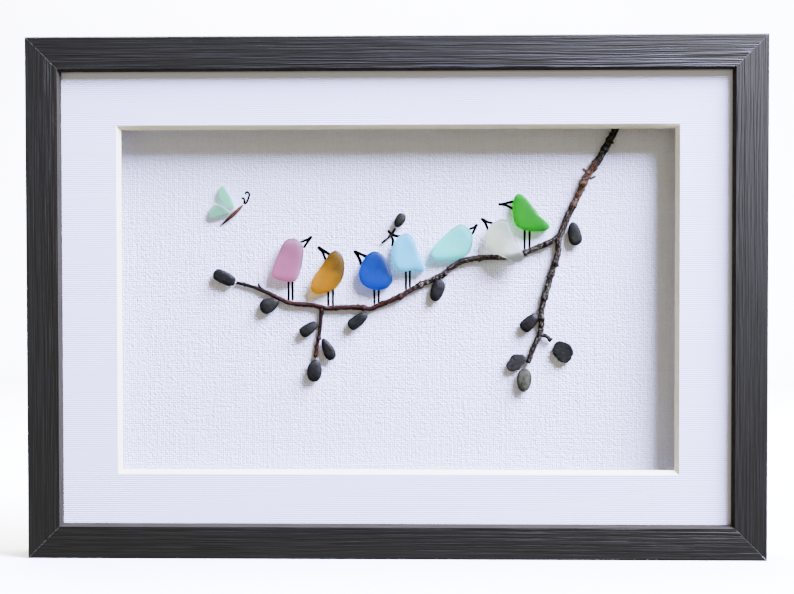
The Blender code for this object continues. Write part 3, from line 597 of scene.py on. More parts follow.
def make_rail(name, node, along_axis, inward, depth, seed, wood, materials):
    """One rail: the section carried along the rail between two mitres, pressed in by its grain.

    Station t from -1 to 1 of a section place that lies v inward stands at t * (half length + closing
    - v), so that both ends are 45 degree mitres. The closing leaves the solids' saw gap only a hair
    wide. Depth is the rail's share of the grain's full depth.
    """
    low, high = (np.array(corner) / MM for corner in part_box(node))
    places, normals, walked, shares, finishes = rail_samples()
    half = (high - low)[along_axis] / 2
    middle = (high + low)[along_axis] / 2
    stations = np.linspace(-1, 1, RAIL_STATIONS)[:, None]
    reach = half + MITRE_CLOSING - places[:, 0]
    along = stations * reach
    height = brushed_grain(along, np.broadcast_to(walked, along.shape), wood.grain_spacing, seed)
    toward_lip = 0.45 + 0.75 * np.clip(places[:, 0] / RAIL_FACE, 0, 1)
    press = wood.grain_depth * depth / MM * (1 - height) * shares * toward_lip
    across_axis = 2 - along_axis
    outer = (low if inward > 0 else high)[across_axis]

    def placed(along_at, inward_at, depth_at):
        place = {along_axis: middle + along_at, across_axis: outer + inward * inward_at,
                 1: low[1] + depth_at}
        return stacked(*(place[axis] for axis in range(3))) * MM

    grid = placed(along, places[:, 0] - press * normals[:, 0], places[:, 1] - press * normals[:, 1])
    ends = placed(np.array((-1, 1)) * (half - RAIL_END_MIDDLE[0]), *RAIL_END_MIDDLE)
    grain = stacked(along, walked + 100.0 * seed, reach * (1 - np.abs(stations)))
    part = shell(grid, ends, {"grain": grain, "height": height})
    rail = build_mesh(name, [part], materials[0], [node])
    for material in materials[1:]:
        rail.data.materials.append(material)
    strips = np.zeros(len(rail.data.polygons), dtype=np.int32)
    strips[:len(part[1])] = np.tile(finishes, len(part[1]) // len(finishes))
    rail.data.polygons.foreach_set("material_index", strips)
    rail.data.set_sharp_from_angle(angle=math.radians(42))


# Boards

def make_board(name, node, material, columns, rows, face, window=None, bevel=0.0):
    """A board whose front is a grid of columns and rows at the depth that face(x, z) gives.

    The back has the same grid, flat. With a window, the cells in it are left out, and the back's
    lines are moved so that its window is smaller by the bevel all round. The open edges of front and
    back are joined, which makes the window's bevel and the board's sides.
    """
    low, high = (np.array(corner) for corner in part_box(node))
    x, z = np.meshgrid(columns, rows)
    front = stacked(x, face(x, z), z)
    back_columns, back_rows = columns, rows
    if window:
        (left, right), (bottom, top) = window
        back_columns = np.interp(columns, (low[0], left, right, high[0]),
                                 (low[0], left + bevel, right - bevel, high[0]))
        back_rows = np.interp(rows, (low[2], bottom, top, high[2]),
                              (low[2], bottom + bevel, top - bevel, high[2]))
    back_x, back_z = np.meshgrid(back_columns, back_rows)
    back = stacked(back_x, high[1], back_z)
    cells = grid_faces(len(rows), len(columns))
    if window:
        across, _, up = front.reshape(-1, 3)[cells].mean(axis=1).T
        cells = cells[~((across > left) & (across < right) & (up > bottom) & (up < top))]
    sides = np.vstack([cells[:, [i, (i + 1) % 4]] for i in range(4)])
    key = np.sort(sides, axis=1)
    _, where, count = np.unique(key, axis=0, return_index=True, return_counts=True)
    rim = sides[where[count == 1]]
    total = len(rows) * len(columns)
    walls = np.stack((rim[:, 1], rim[:, 0], rim[:, 0] + total, rim[:, 1] + total), axis=1)
    faces = np.vstack((cells, cells[:, ::-1] + total, walls))
    used, numbers = np.unique(faces, return_inverse=True)
    numbers = numbers.reshape(faces.shape)
    points = np.vstack((front.reshape(-1, 3), back.reshape(-1, 3)))[used]
    if inside_out(points, numbers):
        numbers = numbers[:, ::-1]
    mesh = bpy.data.meshes.new(name)
    mesh.from_pydata(points.tolist(), [], numbers.tolist())
    layer = mesh.attributes.new("depth_share", "FLOAT", "POINT")
    layer.data.foreach_set("value", (used >= total).astype(np.float32))
    mesh.shade_smooth()
    mesh.set_sharp_from_angle(angle=math.radians(35))
    return place_piece(name, mesh, material, [node])


def lines_between(low, high, spacing, *kept):
    """Evenly spaced places from low to high that also pass through each kept place."""
    stops = sorted((low, *kept, high))
    runs = [np.linspace(start, end, max(2, round((end - start) / spacing) + 1))[:-1]
            for start, end in zip(stops, stops[1:])]
    return np.concatenate((*runs, [high]))


def canvas_hollow(x, z, depth):
    """How far the canvas lies behind its flat front: a slow noise of the given depth."""
    return depth * (0.5 + 0.5 * value_noise(stacked(x / 0.021, z / 0.017, 0.5), 71))


# Glass and stone

def outline_of(node, count):
    """A solid's outline seen from the front, its middle, and the sheet that it lies on.

    For each direction from the middle, the outline's radius is the farthest crossing of that ray
    with the solid's edges. The sheet is the plane y = a + b z that lies closest to its points.
    """
    mesh = NODES[node].data
    points = np.empty(len(mesh.vertices) * 3)
    mesh.vertices.foreach_get("co", points)
    points = points.reshape(-1, 3)
    pairs = np.empty(len(mesh.edges) * 2, dtype=int)
    mesh.edges.foreach_get("vertices", pairs)
    middle = (points.min(axis=0) + points.max(axis=0)) / 2
    flat = points[:, [0, 2]] - middle[[0, 2]]
    start, end = flat[pairs[::2]], flat[pairs[1::2]]
    turn = full_turn(count)
    ray = np.stack((np.cos(turn), np.sin(turn)), axis=1)[:, None, :]
    run = (end - start)[None]
    slope = run[..., 0] * ray[..., 1] - run[..., 1] * ray[..., 0]
    offset = start[None, :, 0] * ray[..., 1] - start[None, :, 1] * ray[..., 0]
    share = -offset / np.where(np.abs(slope) < 1e-12, np.inf, slope)
    crossing = start[None] + share[..., None] * run
    radius = (crossing * ray).sum(axis=-1)
    radius = np.where((share >= 0) & (share <= 1), radius, 0).max(axis=1)
    columns = np.stack((np.ones(len(points)), flat[:, 1]), axis=1)
    sheet = np.linalg.lstsq(columns, points[:, 1], rcond=None)[0]
    off = points[:, 1] - columns @ sheet
    return turn, radius, middle, sheet, (off.min(), off.max())


def rounded(radius, reach):
    """A closed run of radii smoothed by a bell-shaped mean over reach samples each way."""
    away = np.arange(-4, 5)
    weight = np.exp(-(away / reach) ** 2)
    weight /= weight.sum()
    return sum(w * np.roll(radius, shift) for w, shift in zip(weight, away))


def worn_grid(node, count, front, back, smoothing=0):
    """A worn piece: the outline shrunk towards both faces.

    At height angle p from -90 to 90 degrees the outline is scaled by |cos p|^(2 / n) and the depth is
    |sin p|^(2 / n) of half the thickness, where n is front or back: 2 is round, more is flatter. The
    rim attribute holds how far out a place lies, from 0 to 1, and its share to the right and up.
    """
    turn, radius, middle, sheet, (near, far) = outline_of(node, count)
    if smoothing:
        radius = rounded(radius, smoothing)
    tilt = np.linspace(-1, 1, WORN_LEVELS)[1:-1, None] * math.pi / 2
    power = 2 / np.where(tilt < 0, front, back)
    scale = np.cos(tilt) ** power
    depth = np.sign(tilt) * np.abs(np.sin(tilt)) ** power
    x = radius * np.cos(turn) * scale
    z = radius * np.sin(turn) * scale
    half = (far - near) / 2
    y = sheet[0] + sheet[1] * z + (near + far) / 2 + depth * half
    grid = stacked(middle[0] + x, y, middle[2] + z)
    pole = sheet[0] + (near + far) / 2
    ends = np.array(((middle[0], pole - half, middle[2]), (middle[0], pole + half, middle[2])))
    rim = stacked(scale * np.ones_like(turn), np.cos(turn) * scale, np.sin(turn) * scale)
    return grid, ends, rim


def worn_shell(node, seed, wear, front, back, hollow_size, pit_size):
    """A worn piece with slow hollows and fine pits pressed in along its normals.

    Towards the middle of each face they fade to one depth, by which that face's middle is moved too.
    """
    grid, ends, rim = worn_grid(node, WORN_POINTS, front, back, OUTLINE_SMOOTHING)
    slow = layered_noise(grid / hollow_size, seed, 2)
    pits = value_noise(grid / pit_size, seed + 9)
    press = wear * (0.5 + 0.5 * np.clip(slow, -1, 1)) + wear * 0.08 * pits
    fade = np.clip(rim[..., 0] * 4, 0, 1)
    first = press[0].mean()
    normal = grid_normals(grid)
    press = (press * fade + first * (1 - fade)) * np.abs(normal[..., 1])
    ends[:, 1] += (first, -first)
    return shell(grid - normal * press[..., None], ends, {"rim": rim})


def slate_shell(node, seed, cleft):
    """A slate flake: straight broken sides, and a front that steps down in thin layers.

    The front's depth is a slow noise rounded down to a few levels, so that each layer ends in a step.
    """
    grid, ends, rim = worn_grid(node, SLATE_POINTS, SLATE_FLATNESS, SLATE_FLATNESS)
    slow = 0.5 + 0.5 * np.clip(layered_noise(grid / 0.0042, seed, 3), -1, 1)
    step = np.floor(slow * SLATE_LEVELS) / SLATE_LEVELS
    front = (grid[..., 1] < ends[:, 1].mean()).astype(float)
    ragged = 1 - 0.03 * (0.5 + 0.5 * value_noise(grid / 0.0009, seed + 4))
    for axis in (0, 2):
        grid[..., axis] = ends[0, axis] + (grid[..., axis] - ends[0, axis]) * ragged
    grid[..., 1] += front * cleft * step * np.clip(rim[..., 0] * 30, 0, 1)
    ends[0, 1] += cleft * step[0].mean() * min(rim[0, 0, 0] * 30, 1)
    return shell(grid, ends, {"rim": rim})


# Twigs

def along_run(stops, share):
    """A value read off a run of (share, value) stops."""
    places, values = zip(*stops)
    return np.interp(share, places, values)


def bark_of(twig, share, scars):
    """The bark attribute: how red, how black and how scarred each place of a twig is."""
    red, black = (along_run(twig[key], share)[:, None] for key in ("red", "black"))
    return stacked(red, black, scars)


def twig_shell(twig, furrow):
    """A twig: a tube on the canvas along its route, its radius changed all over by its bark.

    The radius is the taper times a bell-shaped swelling at each knot, times furrows (noise drawn out
    along the twig), lumps, and narrow raised scars that run round it, plus a bump at each bud. Towards
    the viewer it is at most HIGHEST_RISE times the bare radius, and nothing reaches behind the glue.
    """
    seed = twig["seed"]
    flat = smooth_curve(twig["route"], twig["spacing"])
    walked = walked_along(flat)
    length = walked[-1]
    share = walked / length
    radius = along_run(twig["diameters"], share) / 2
    for knot in twig["knots"]:
        radius = radius * (1 + KNOT_SWELL * np.exp(-(((share - knot) * length) / KNOT_REACH) ** 2))
    radius = radius[:, None]
    turn = full_turn(twig["around"])[None]
    where = stacked(walked[:, None], np.cos(turn) * 3, np.sin(turn) * 3 + seed)
    furrows = value_noise(where / FURROW_SIZE, seed)
    lumps = layered_noise(where / LUMP_SIZE, seed + 3, 2)
    scars = value_noise(stacked(walked / SCAR_SPACING, 0.5, seed), seed + 5)[:, None]
    scars = np.clip(scars - 0.40, 0, 1)
    grow = 1.04 + furrow * (0.45 * furrows + 0.60 * lumps) + 0.7 * scars * (0.6 + 0.4 * furrows)
    bulge = np.zeros_like(grow)
    for place, side, height in twig["buds"]:
        ahead = (share[:, None] - place) * length
        facing = 0.5 + 0.5 * side * np.cos(turn)
        reach = np.where(ahead > 0, BUD_AHEAD, BUD_BEHIND)
        bulge += height * np.exp(-(ahead / reach) ** 2) * facing ** 6
    radius_all = radius * grow + bulge
    along, side, up = canvas_axes(flat)
    path = picture_points(flat, GLUE_Y - radius[:, 0] * MM - twig["lifted"] * MM)
    rise = np.minimum(radius_all, radius * HIGHEST_RISE)
    grid = sweep(path, side, up, radius_all * MM, rise * MM)
    grid[..., 1] = np.minimum(grid[..., 1], GLUE_Y)
    bark = bark_of(twig, share, np.clip(scars * 2.2 + bulge * 0.3, 0, 1))
    outward = stacked(along[[0, -1], 0], 0.0, along[[0, -1], 1]) * ((-1,), (1,))
    ends = path[[0, -1]] + outward * BROKEN_END * MM
    run = stacked(walked[:, None] + 50.0 * seed, radius_all * np.cos(turn), radius_all * np.sin(turn))
    return shell(grid, ends, {"bark": bark, "run": run})


def flake_shell(root, tip, width, lift, seed):
    """A curl of loose bark: a flat tube whose path rises from the trunk and bends over at its tip."""
    share = np.linspace(0, 1, 12)
    flat = np.array(root) + share[:, None] * (np.array(tip) - np.array(root))
    rise = lift * np.sin(share * math.pi * 0.7)
    path = picture_points(flat, 0.0)
    path[:, 1] = GLUE_Y - (FLAKE_BASE + rise) * MM
    along = unit(np.gradient(path, axis=0))
    side = unit(np.cross(along, (0.0, -1.0, 0.0)))
    up = np.cross(side, along)
    turn = full_turn(12)[None]
    where = stacked(share[:, None] * 5, np.cos(turn) * 2, np.sin(turn) * 2)
    ragged = 1 + 0.25 * value_noise(where, seed)
    taper = np.sqrt(np.clip(1.04 - share ** 3, 0, 1))[:, None]
    size = taper * ragged * MM
    grid = sweep(path, side, up, width / 2 * size, FLAKE_HALF_THICKNESS * size)
    bark = np.broadcast_to((1.0, 0.05, 0.3), grid.shape)
    return shell(grid, path[[0, -1]], {"bark": bark, "run": grid / MM})


def sliver_shell(seed):
    """The butterfly's body: a spindle, thickest near the head, with ridges along it."""
    flat = smooth_curve(BODY_SLIVER["route"], 0.25)
    share = np.linspace(0, 1, len(flat))
    radius = SLIVER_RADIUS * (0.18 + 0.82 * np.sin(math.pi * share ** 0.7))[:, None]
    turn = full_turn(24)[None]
    ridges = value_noise(stacked(share[:, None] * 5, np.cos(turn) * 2.2, np.sin(turn) * 2.2), seed)
    spread = radius * (1 - 0.10 * (0.5 + 0.5 * ridges))
    _, side, up = canvas_axes(flat)
    path = picture_points(flat, GLUE_Y - radius[:, 0] * MM)
    grid = sweep(path, side, up, spread * MM, spread * MM)
    bark = bark_of(BODY_SLIVER, share, np.clip(ridges * 0.5, 0, 1))
    return shell(grid, path[[0, -1]], {"bark": bark, "run": grid / MM})


# Pen strokes

def stroke_shell(start_width, end_width, points, film, hollow, seed):
    """A pen stroke: a flat film on the canvas, round at both ends, its edges a little ragged.

    The half width is the taper times the root of 1 - |u|^24, where u runs from -1 to 1 along it.
    """
    flat = smooth_curve(points, STROKE_SPACING)
    share = np.linspace(0, 1, len(flat))
    closing = np.sqrt(np.clip(1 - np.abs(2 * share - 1) ** 24, 0.02, 1))[:, None]
    turn = full_turn(10)[None]
    ragged = 1 + 0.08 * value_noise(stacked(share[:, None] * len(flat) * 0.3, np.cos(turn), seed), seed)
    width = (start_width + share * (end_width - start_width))[:, None] / 2 * closing * ragged
    _, side, up = canvas_axes(flat)
    path = picture_points(flat, CANVAS_Y)
    path[:, 1] += canvas_hollow(path[:, 0], path[:, 2], hollow) - film
    grid = sweep(path, side, up, width * MM, np.full_like(width, film))
    return shell(grid, path[[0, -1]], {})


# Materials

def shade(colour, factor, added=0.0):
    """The colour times a factor, plus an added amount, at most 1."""
    return tuple(min(1.0, part * factor + added) for part in colour)


class Recipe:
    """A node material under construction, with short ways to add and join its nodes."""

    def __init__(self, name):
        self.material = bpy.data.materials.new(name)
        self.material.use_nodes = True
        self.tree = self.material.node_tree
        self.shader = self.tree.nodes["Principled BSDF"]

    def add(self, kind, inputs, out=0, **settings):
        """Adds a node, sets or joins its inputs, and returns one of its outputs."""
        node = self.tree.nodes.new("ShaderNode" + kind)
        for key, value in settings.items():
            setattr(node, key, value)
        for key, value in inputs.items():
            self.join(value, node.inputs[key])
        return node.outputs[out]

    def join(self, value, socket):
        if isinstance(value, bpy.types.NodeSocket):
            self.tree.links.new(value, socket)
        elif socket.type == "RGBA":
            socket.default_value = (*value, 1.0)
        else:
            socket.default_value = value

    def coords(self):
        return self.add("TexCoord", {}, out="Object")

    def field(self, name, out="Vector"):
        return self.add("Attribute", {}, attribute_name=name, out=out)

    def parts(self, vector):
        node = self.tree.nodes.new("ShaderNodeSeparateXYZ")
        self.tree.links.new(vector, node.inputs[0])
        return node.outputs

    def maths(self, operation, first, second=0.0):
        return self.add("Math", {0: first, 1: second}, operation=operation)

    def times(self, first, second):
        return self.maths("MULTIPLY", first, second)

    def weighed(self, *terms):
        """The sum of values times their weights, each given as (value, weight)."""
        total, *others = (value if weight == 1 else self.times(value, weight) for value, weight in terms)
        for term in others:
            total = self.maths("ADD", total, term)
        return total

    def noise(self, vector, scale, detail=3.0, roughness=0.55, distortion=0.0, stretch=None, out="Fac"):
        """Noise in three dimensions, with the vector's axes multiplied by stretch first."""
        if stretch:
            vector = self.add("Mapping", {"Vector": vector, "Scale": stretch})
        return self.add("TexNoise", {"Vector": vector, "Scale": scale, "Detail": detail,
                                     "Roughness": roughness, "Distortion": distortion}, out=out)

    def spread(self, value, low, high, to_low=0.0, to_high=1.0):
        """The value carried from the range low..high to another range, held at its ends."""
        return self.add("MapRange", {"Value": value, "From Min": low, "From Max": high,
                                     "To Min": to_low, "To Max": to_high})

    def blend(self, share, first, second):
        return self.add("Mix", {"Factor": share, 6: first, 7: second}, out=2, data_type="RGBA")

    def dab(self, value, low, high, under, over, most=1.0):
        """One colour over another: none of it up to low, and most of it from high on."""
        return self.blend(self.spread(value, low, high, 0.0, most), under, over)

    def bump(self, height, distance, strength=1.0):
        return self.add("Bump", {"Height": height, "Distance": distance, "Strength": strength})

    def set(self, **sockets):
        """Sets or joins the shader's sockets, with underscores for the spaces in their names."""
        for key, value in sockets.items():
            self.join(value, self.shader.inputs[key.replace("_", " ")])
        return self.material


def black_wood(name, wood, duller, gloss):
    """Black stain over brushed grain: paler where the grain stands up, bare wood at the mitres."""
    recipe = Recipe(name)
    grain = recipe.field("grain")
    streak = recipe.noise(grain, 1.0, 4.0, 0.6, stretch=(0.05, 1.9, 0.0))
    patch = recipe.noise(grain, 1.0, 2.0, stretch=(0.012, 0.06, 0.0))
    lift = recipe.weighed((recipe.field("height", "Fac"), 0.7), (streak, 0.6), (patch, 0.3))
    colour = recipe.dab(lift, 0.60, 1.25, wood.stain, wood.worn)
    fleck = recipe.noise(grain, 1.0, 2.0, stretch=(0.35, 3.2, 0.0))
    colour = recipe.dab(fleck, 0.70, 0.78, colour, WOOD_FLECK, 0.5)
    _, _, to_mitre = recipe.parts(grain)
    broken = recipe.noise(grain, 1.0, 2.0, stretch=(0.0, 0.7, 0.0))
    edge = recipe.times(recipe.spread(to_mitre, 0.08, 0.24, 0.8, 0.0), recipe.spread(broken, 0.44, 0.56))
    colour = recipe.blend(edge, colour, BARE_WOOD)
    fine = recipe.noise(grain, 1.0, 4.0, 0.6, stretch=(0.14, 3.4, 0.0))
    rough = recipe.spread(streak, 0.3, 0.7, 0.42 + duller, 0.30 + duller)
    return recipe.set(Base_Color=colour, Roughness=rough, Specular_IOR_Level=gloss,
                      Normal=recipe.bump(fine, 0.00012, 0.8))


def lip_wood(wood):
    """The rail's inner lip: the same stain, sanded smooth and dull."""
    recipe = Recipe("smooth_black_lip")
    streak = recipe.noise(recipe.field("grain"), 1.0, 3.0, stretch=(0.05, 1.4, 0.0))
    colour = recipe.dab(streak, 0.3, 0.7, shade(wood.lip, 0.7), shade(wood.lip, 1.3))
    return recipe.set(Base_Color=colour, Roughness=0.85, Specular_IOR_Level=0.0,
                      Normal=recipe.bump(streak, 0.00006, 0.5))


def mat_card(card):
    """Laid card: a blue-white face, and a creamier core that shows in the bevel."""
    recipe = Recipe("ribbed_mat_card")
    place = recipe.coords()
    fibre = recipe.noise(place, 900.0, 4.0)
    pale = recipe.dab(recipe.noise(place, 18.0, 2.0), 0.3, 0.7, card.face, shade(card.face, 1.03))
    pale = recipe.dab(fibre, 0.35, 0.75, pale, shade(card.face, 0.88), 0.25)
    core = recipe.dab(fibre, 0.3, 0.7, card.core, shade(card.core, 0.93))
    colour = recipe.dab(recipe.field("depth_share", "Fac"), 0.07, 0.10, pale, core)
    return recipe.set(Base_Color=colour, Roughness=0.85, Normal=recipe.bump(fibre, 0.00003, 0.5))


def canvas_cloth(canvas):
    """Primed canvas: two sets of threads that pass over and under, uneven, with small nubs, and painted
    shade that darkens the low places between and along the threads.
    """
    recipe = Recipe("primed_canvas")
    place = recipe.coords()
    drift = recipe.noise(place, 60.0, 2.0, 0.5, out="Color")
    shift = recipe.add("VectorMath", {0: drift, 1: (0.5, 0.5, 0.5)}, operation="SUBTRACT")
    shift = recipe.add("VectorMath", {0: shift, "Scale": 0.0014}, operation="SCALE")
    bent = recipe.add("VectorMath", {0: place, 1: shift}, operation="ADD")
    x, _, z = recipe.parts(bent)
    turn = math.pi / canvas.thread_spacing
    wave_x, wave_z = (recipe.maths("SINE", recipe.times(axis, turn)) for axis in (x, z))
    over = recipe.times(wave_x, wave_z)
    ridge = recipe.maths("ADD", recipe.maths("ABSOLUTE", wave_x), recipe.maths("ABSOLUTE", wave_z))
    nubs = recipe.noise(place, 660.0, 3.0, 0.6)
    warp = recipe.noise(bent, 600.0, 2.0, stretch=(1.0, 0.0, 0.06))
    weft = recipe.noise(bent, 600.0, 2.0, stretch=(0.06, 0.0, 1.0))
    threads = recipe.weighed((warp, 1.2), (weft, 0.8))
    # Painted shade: darker where the ridges and nubs are low, in the gaps between the threads
    gap = recipe.spread(recipe.weighed((ridge, 0.4), (nubs, 2.4)), 0.70, 1.30, 0.85, 0.0)
    colour = recipe.blend(gap, canvas.colour, shade(canvas.colour, 0.52))
    # Painted shade: a little darker where the threads, and with them the bump, are low
    thin = recipe.spread(threads, 0.8, 1.2, 0.35, 0.0)
    colour = recipe.blend(thin, colour, shade(canvas.colour, 0.85))
    height = recipe.weighed((over, 0.06), (ridge, 0.2), (nubs, 1.6), (threads, 0.75))
    return recipe.set(Base_Color=colour, Roughness=0.88, Normal=recipe.bump(height, 0.00050))


def foam_card():
    """Spacer card: a white face with a fine crumb."""
    recipe = Recipe("spacer_foam_card")
    crumb = recipe.noise(recipe.coords(), 1400.0)
    colour = recipe.dab(crumb, 0.3, 0.7, (0.80, 0.80, 0.78), (0.70, 0.70, 0.68))
    return recipe.set(Base_Color=colour, Roughness=0.9, Normal=recipe.bump(crumb, 0.00008, 0.6))


def fibreboard():
    """Brown hardboard: matted fibres with darker flecks."""
    recipe = Recipe("brown_fibreboard")
    place = recipe.coords()
    fibres = recipe.noise(place, 420.0, 5.0, 0.65, 1.5, stretch=(1.0, 1.0, 2.2))
    colour = recipe.dab(fibres, 0.35, 0.68, (0.150, 0.088, 0.046), (0.33, 0.215, 0.125))
    colour = recipe.dab(recipe.noise(place, 1300.0, 2.0), 0.66, 0.72, colour, (0.06, 0.035, 0.02), 0.7)
    return recipe.set(Base_Color=colour, Roughness=0.75, Normal=recipe.bump(fibres, 0.00012, 0.7))


def sea_glass(name, tint, painted_shade_tint, glass, clearness, pale_rim=False):
    """Frosted glass: light passes and scatters in it. Painted shade makes the tint duller towards the
    upper right, where the light enters, with a thin painted dark edge there, and a painted glow
    brightens it towards the lower left. Thin chips have a pale rim all round instead of the dark edge.
    Fine specks of frost are paler."""
    recipe = Recipe(f"{name}_sea_glass")
    place = recipe.coords()
    out, right, high = recipe.parts(recipe.field("rim"))
    slope = recipe.weighed((right, 0.7), (high, 0.6))
    # Painted shade: towards the upper right, the side the light comes from, the tint turns darker, with
    # a random cloud over it
    uneven = recipe.weighed((slope, 1), (recipe.noise(place, 170.0), 1.2))
    colour = recipe.dab(uneven, 0.50, 1.25, tint, painted_shade_tint)
    # Painted glow: near the rim towards the lower left, away from the light, the tint is made brighter
    toward = recipe.spread(slope, -0.75, -0.05, 0.8, 0.25 if pale_rim else 0.0)
    glow = recipe.times(recipe.spread(out, 0.35, 1.0), toward)
    colour = recipe.blend(glow, colour, shade(tint, 1.35, 0.002))
    # On birds this is painted shade: a thin dark edge on the upper right side. Thin chips get a pale rim
    # all round instead
    edge_shade_and_pale_rim = shade(tint, 0.5, 0.5) if pale_rim else shade(painted_shade_tint, 0.25)
    side = 0.6 if pale_rim else recipe.spread(slope, 0.05, 0.4, 0.0, 0.9)
    colour = recipe.blend(recipe.times(recipe.spread(out, 0.86, 0.97), side), colour, edge_shade_and_pale_rim)
    frost = recipe.noise(place, 1500.0, 4.0, 0.65)
    colour = recipe.dab(frost, 0.60, 0.72, colour, shade(tint, 1.6, 0.006), 0.35)
    scuff = recipe.noise(place, 320.0)
    rough = recipe.spread(scuff, 0.3, 0.7, glass.frost - 0.06, glass.frost + 0.08)
    return recipe.set(Base_Color=colour, Roughness=rough, IOR=1.30, Transmission_Weight=clearness,
                      Specular_IOR_Level=0.02, Subsurface_Weight=1.0, Subsurface_Scale=0.004,
                      Subsurface_Radius=(1.0, 1.0, 1.0), Normal=recipe.bump(frost, 0.00010, 0.6))


def worn_stone(name, colour):
    """A beach pebble: a fine speckle, pale rubbed patches on its face, and painted shade that darkens
    its rim.
    """
    recipe = Recipe(f"{name}_stone")
    place = recipe.coords()
    out, _, _ = recipe.parts(recipe.field("rim"))
    cloud = recipe.noise(place, 230.0, 4.0)
    tint = recipe.dab(cloud, 0.36, 0.68, shade(colour, 0.7), shade(colour, 3.0))
    tint = recipe.dab(recipe.noise(place, 1500.0), 0.58, 0.70, tint, shade(colour, 4, 0.008), 0.6)
    # Painted shade: darker towards the rim, where the face turns away from the light
    tint = recipe.dab(out, 0.74, 0.96, tint, shade(colour, 0.35), 0.85)
    pits = recipe.noise(place, 620.0, 4.0, 0.6)
    return recipe.set(Base_Color=tint, Roughness=recipe.spread(cloud, 0.3, 0.7, 0.64, 0.50),
                      Specular_IOR_Level=0.13, Normal=recipe.bump(pits, 0.00032, 0.8))


def split_slate(name, colour):
    """Split slate: thin dark layers with paler bruises."""
    recipe = Recipe(f"{name}_slate")
    place = recipe.coords()
    layer = recipe.noise(place, 260.0, 5.0, 0.65, 1.0, stretch=(1.0, 1.0, 3.0))
    bruise = recipe.noise(place, 820.0, 4.0, 0.7)
    tint = recipe.dab(layer, 0.40, 0.66, colour, shade(colour, 2.6))
    tint = recipe.dab(bruise, 0.60, 0.70, tint, shade(colour, 5, 0.012), 0.7)
    height = recipe.weighed((layer, 1), (bruise, 1))
    return recipe.set(Base_Color=tint, Roughness=recipe.spread(bruise, 0.3, 0.7, 0.75, 0.45),
                      Specular_IOR_Level=0.12, Normal=recipe.bump(height, 0.00022, 0.9))


def twig_bark(name, bark, red_bark, glossy):
    """Bark: dark brown, redder and blacker where its attribute says, with pale specks drawn out along
    the twig and pale scars round it."""
    recipe = Recipe(f"{name}_bark")
    run = recipe.field("run")
    red, black, scar = recipe.parts(recipe.field("bark"))
    mottle = recipe.noise(run, 1.5, 4.0, 0.65, stretch=(0.45, 1.0, 1.0))
    brown = recipe.dab(mottle, 0.35, 0.68, shade(bark.brown, 0.45), shade(bark.brown, 1.8))
    rust = recipe.dab(mottle, 0.35, 0.68, shade(red_bark, 0.35), shade(red_bark, 1.6))
    patchy = recipe.noise(run, 0.9, 2.0, stretch=(0.5, 1.0, 1.0))
    patches = recipe.spread(patchy, 0.42, 0.54, 0.75 if glossy else 0.2, 1.0)
    colour = recipe.blend(recipe.times(red, patches), brown, rust)
    colour = recipe.blend(recipe.times(black, 0.85), colour, BLACK_BARK)
    specks = recipe.noise(run, 1.7, 3.0, 0.6, stretch=(0.45, 1.0, 1.0))
    pale = recipe.times(recipe.spread(specks, 0.54, 0.62), recipe.spread(black, 0.2, 0.9, 0.7, 0.0))
    if glossy:
        pale = recipe.times(pale, recipe.spread(red, 0.35, 0.7, 1.0, 0.2))
    colour = recipe.blend(pale, colour, bark.speck)
    ring = recipe.times(scar, recipe.spread(mottle, 0.50, 0.62, 0.0, 0.6))
    colour = recipe.blend(ring, colour, shade(bark.speck, 0.7))
    rough = recipe.noise(recipe.coords(), 1300.0, 4.0, 0.6)
    return recipe.set(Base_Color=colour, Roughness=0.55 if glossy else 0.75, Specular_IOR_Level=0.06,
                      Normal=recipe.bump(rough, 0.00018, 0.9))


def pen_ink(ink):
    """Black pen: it sinks unevenly into the weave, so it is not quite black all over."""
    recipe = Recipe("black_pen_ink")
    wear = recipe.noise(recipe.coords(), 1500.0)
    colour = recipe.dab(wear, 0.55, 0.75, ink.colour, (0.006, 0.005, 0.004), 0.6)
    return recipe.set(Base_Color=colour, Roughness=0.8, Specular_IOR_Level=0.0)


def plain_floor():
    """Pale studio paper with a faint mottle."""
    recipe = Recipe("pale_studio_paper")
    colour = recipe.dab(recipe.noise(recipe.coords(), 9.0, 2.0), 0.3, 0.7, (0.93,) * 3, (0.95,) * 3)
    return recipe.set(Base_Color=colour, Roughness=0.95)


# Steps

class GLASS_ART_OT_rails(bpy.types.Operator):
    """Build the four mitred rails with their brushed grain"""
    bl_idname = "glass_art.rails"
    bl_label = "Frame rails"

    def execute(self, context):
        wood = context.scene.glass_art_wood
        materials = (black_wood("brushed_black_wood", wood, 0.0, 0.48), lip_wood(wood),
                     black_wood("dull_black_sides", wood, 0.35, 0.10))
        for name, rail in RAILS.items():
            make_rail(name, *rail, wood, materials)
        return {"FINISHED"}


class GLASS_ART_OT_mat(bpy.types.Operator):
    """Build the ribbed mat with its bevelled window"""
    bl_idname = "glass_art.mat"
    bl_label = "Mat"

    def execute(self, context):
        card = context.scene.glass_art_card
        low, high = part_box("mat_board")
        columns = lines_between(low.x, high.x, MAT_COLUMN_SPACING, *WINDOW_X)
        rows = lines_between(low.z, high.z, card.rib_spacing / LINES_IN_A_RIB, *WINDOW_Z)

        def face(x, z):
            turn = 2 * math.pi * z / card.rib_spacing
            strength = 0.8 + 0.4 * value_noise(stacked(x / 0.03, 0.5, z / 0.0024), 5)
            return low.y + card.rib_height / 2 * (1 + np.sin(turn)) * strength

        make_board("ribbed_mat", "mat_board", mat_card(card), columns, rows, face,
                   (WINDOW_X, WINDOW_Z), BEVEL)
        return {"FINISHED"}


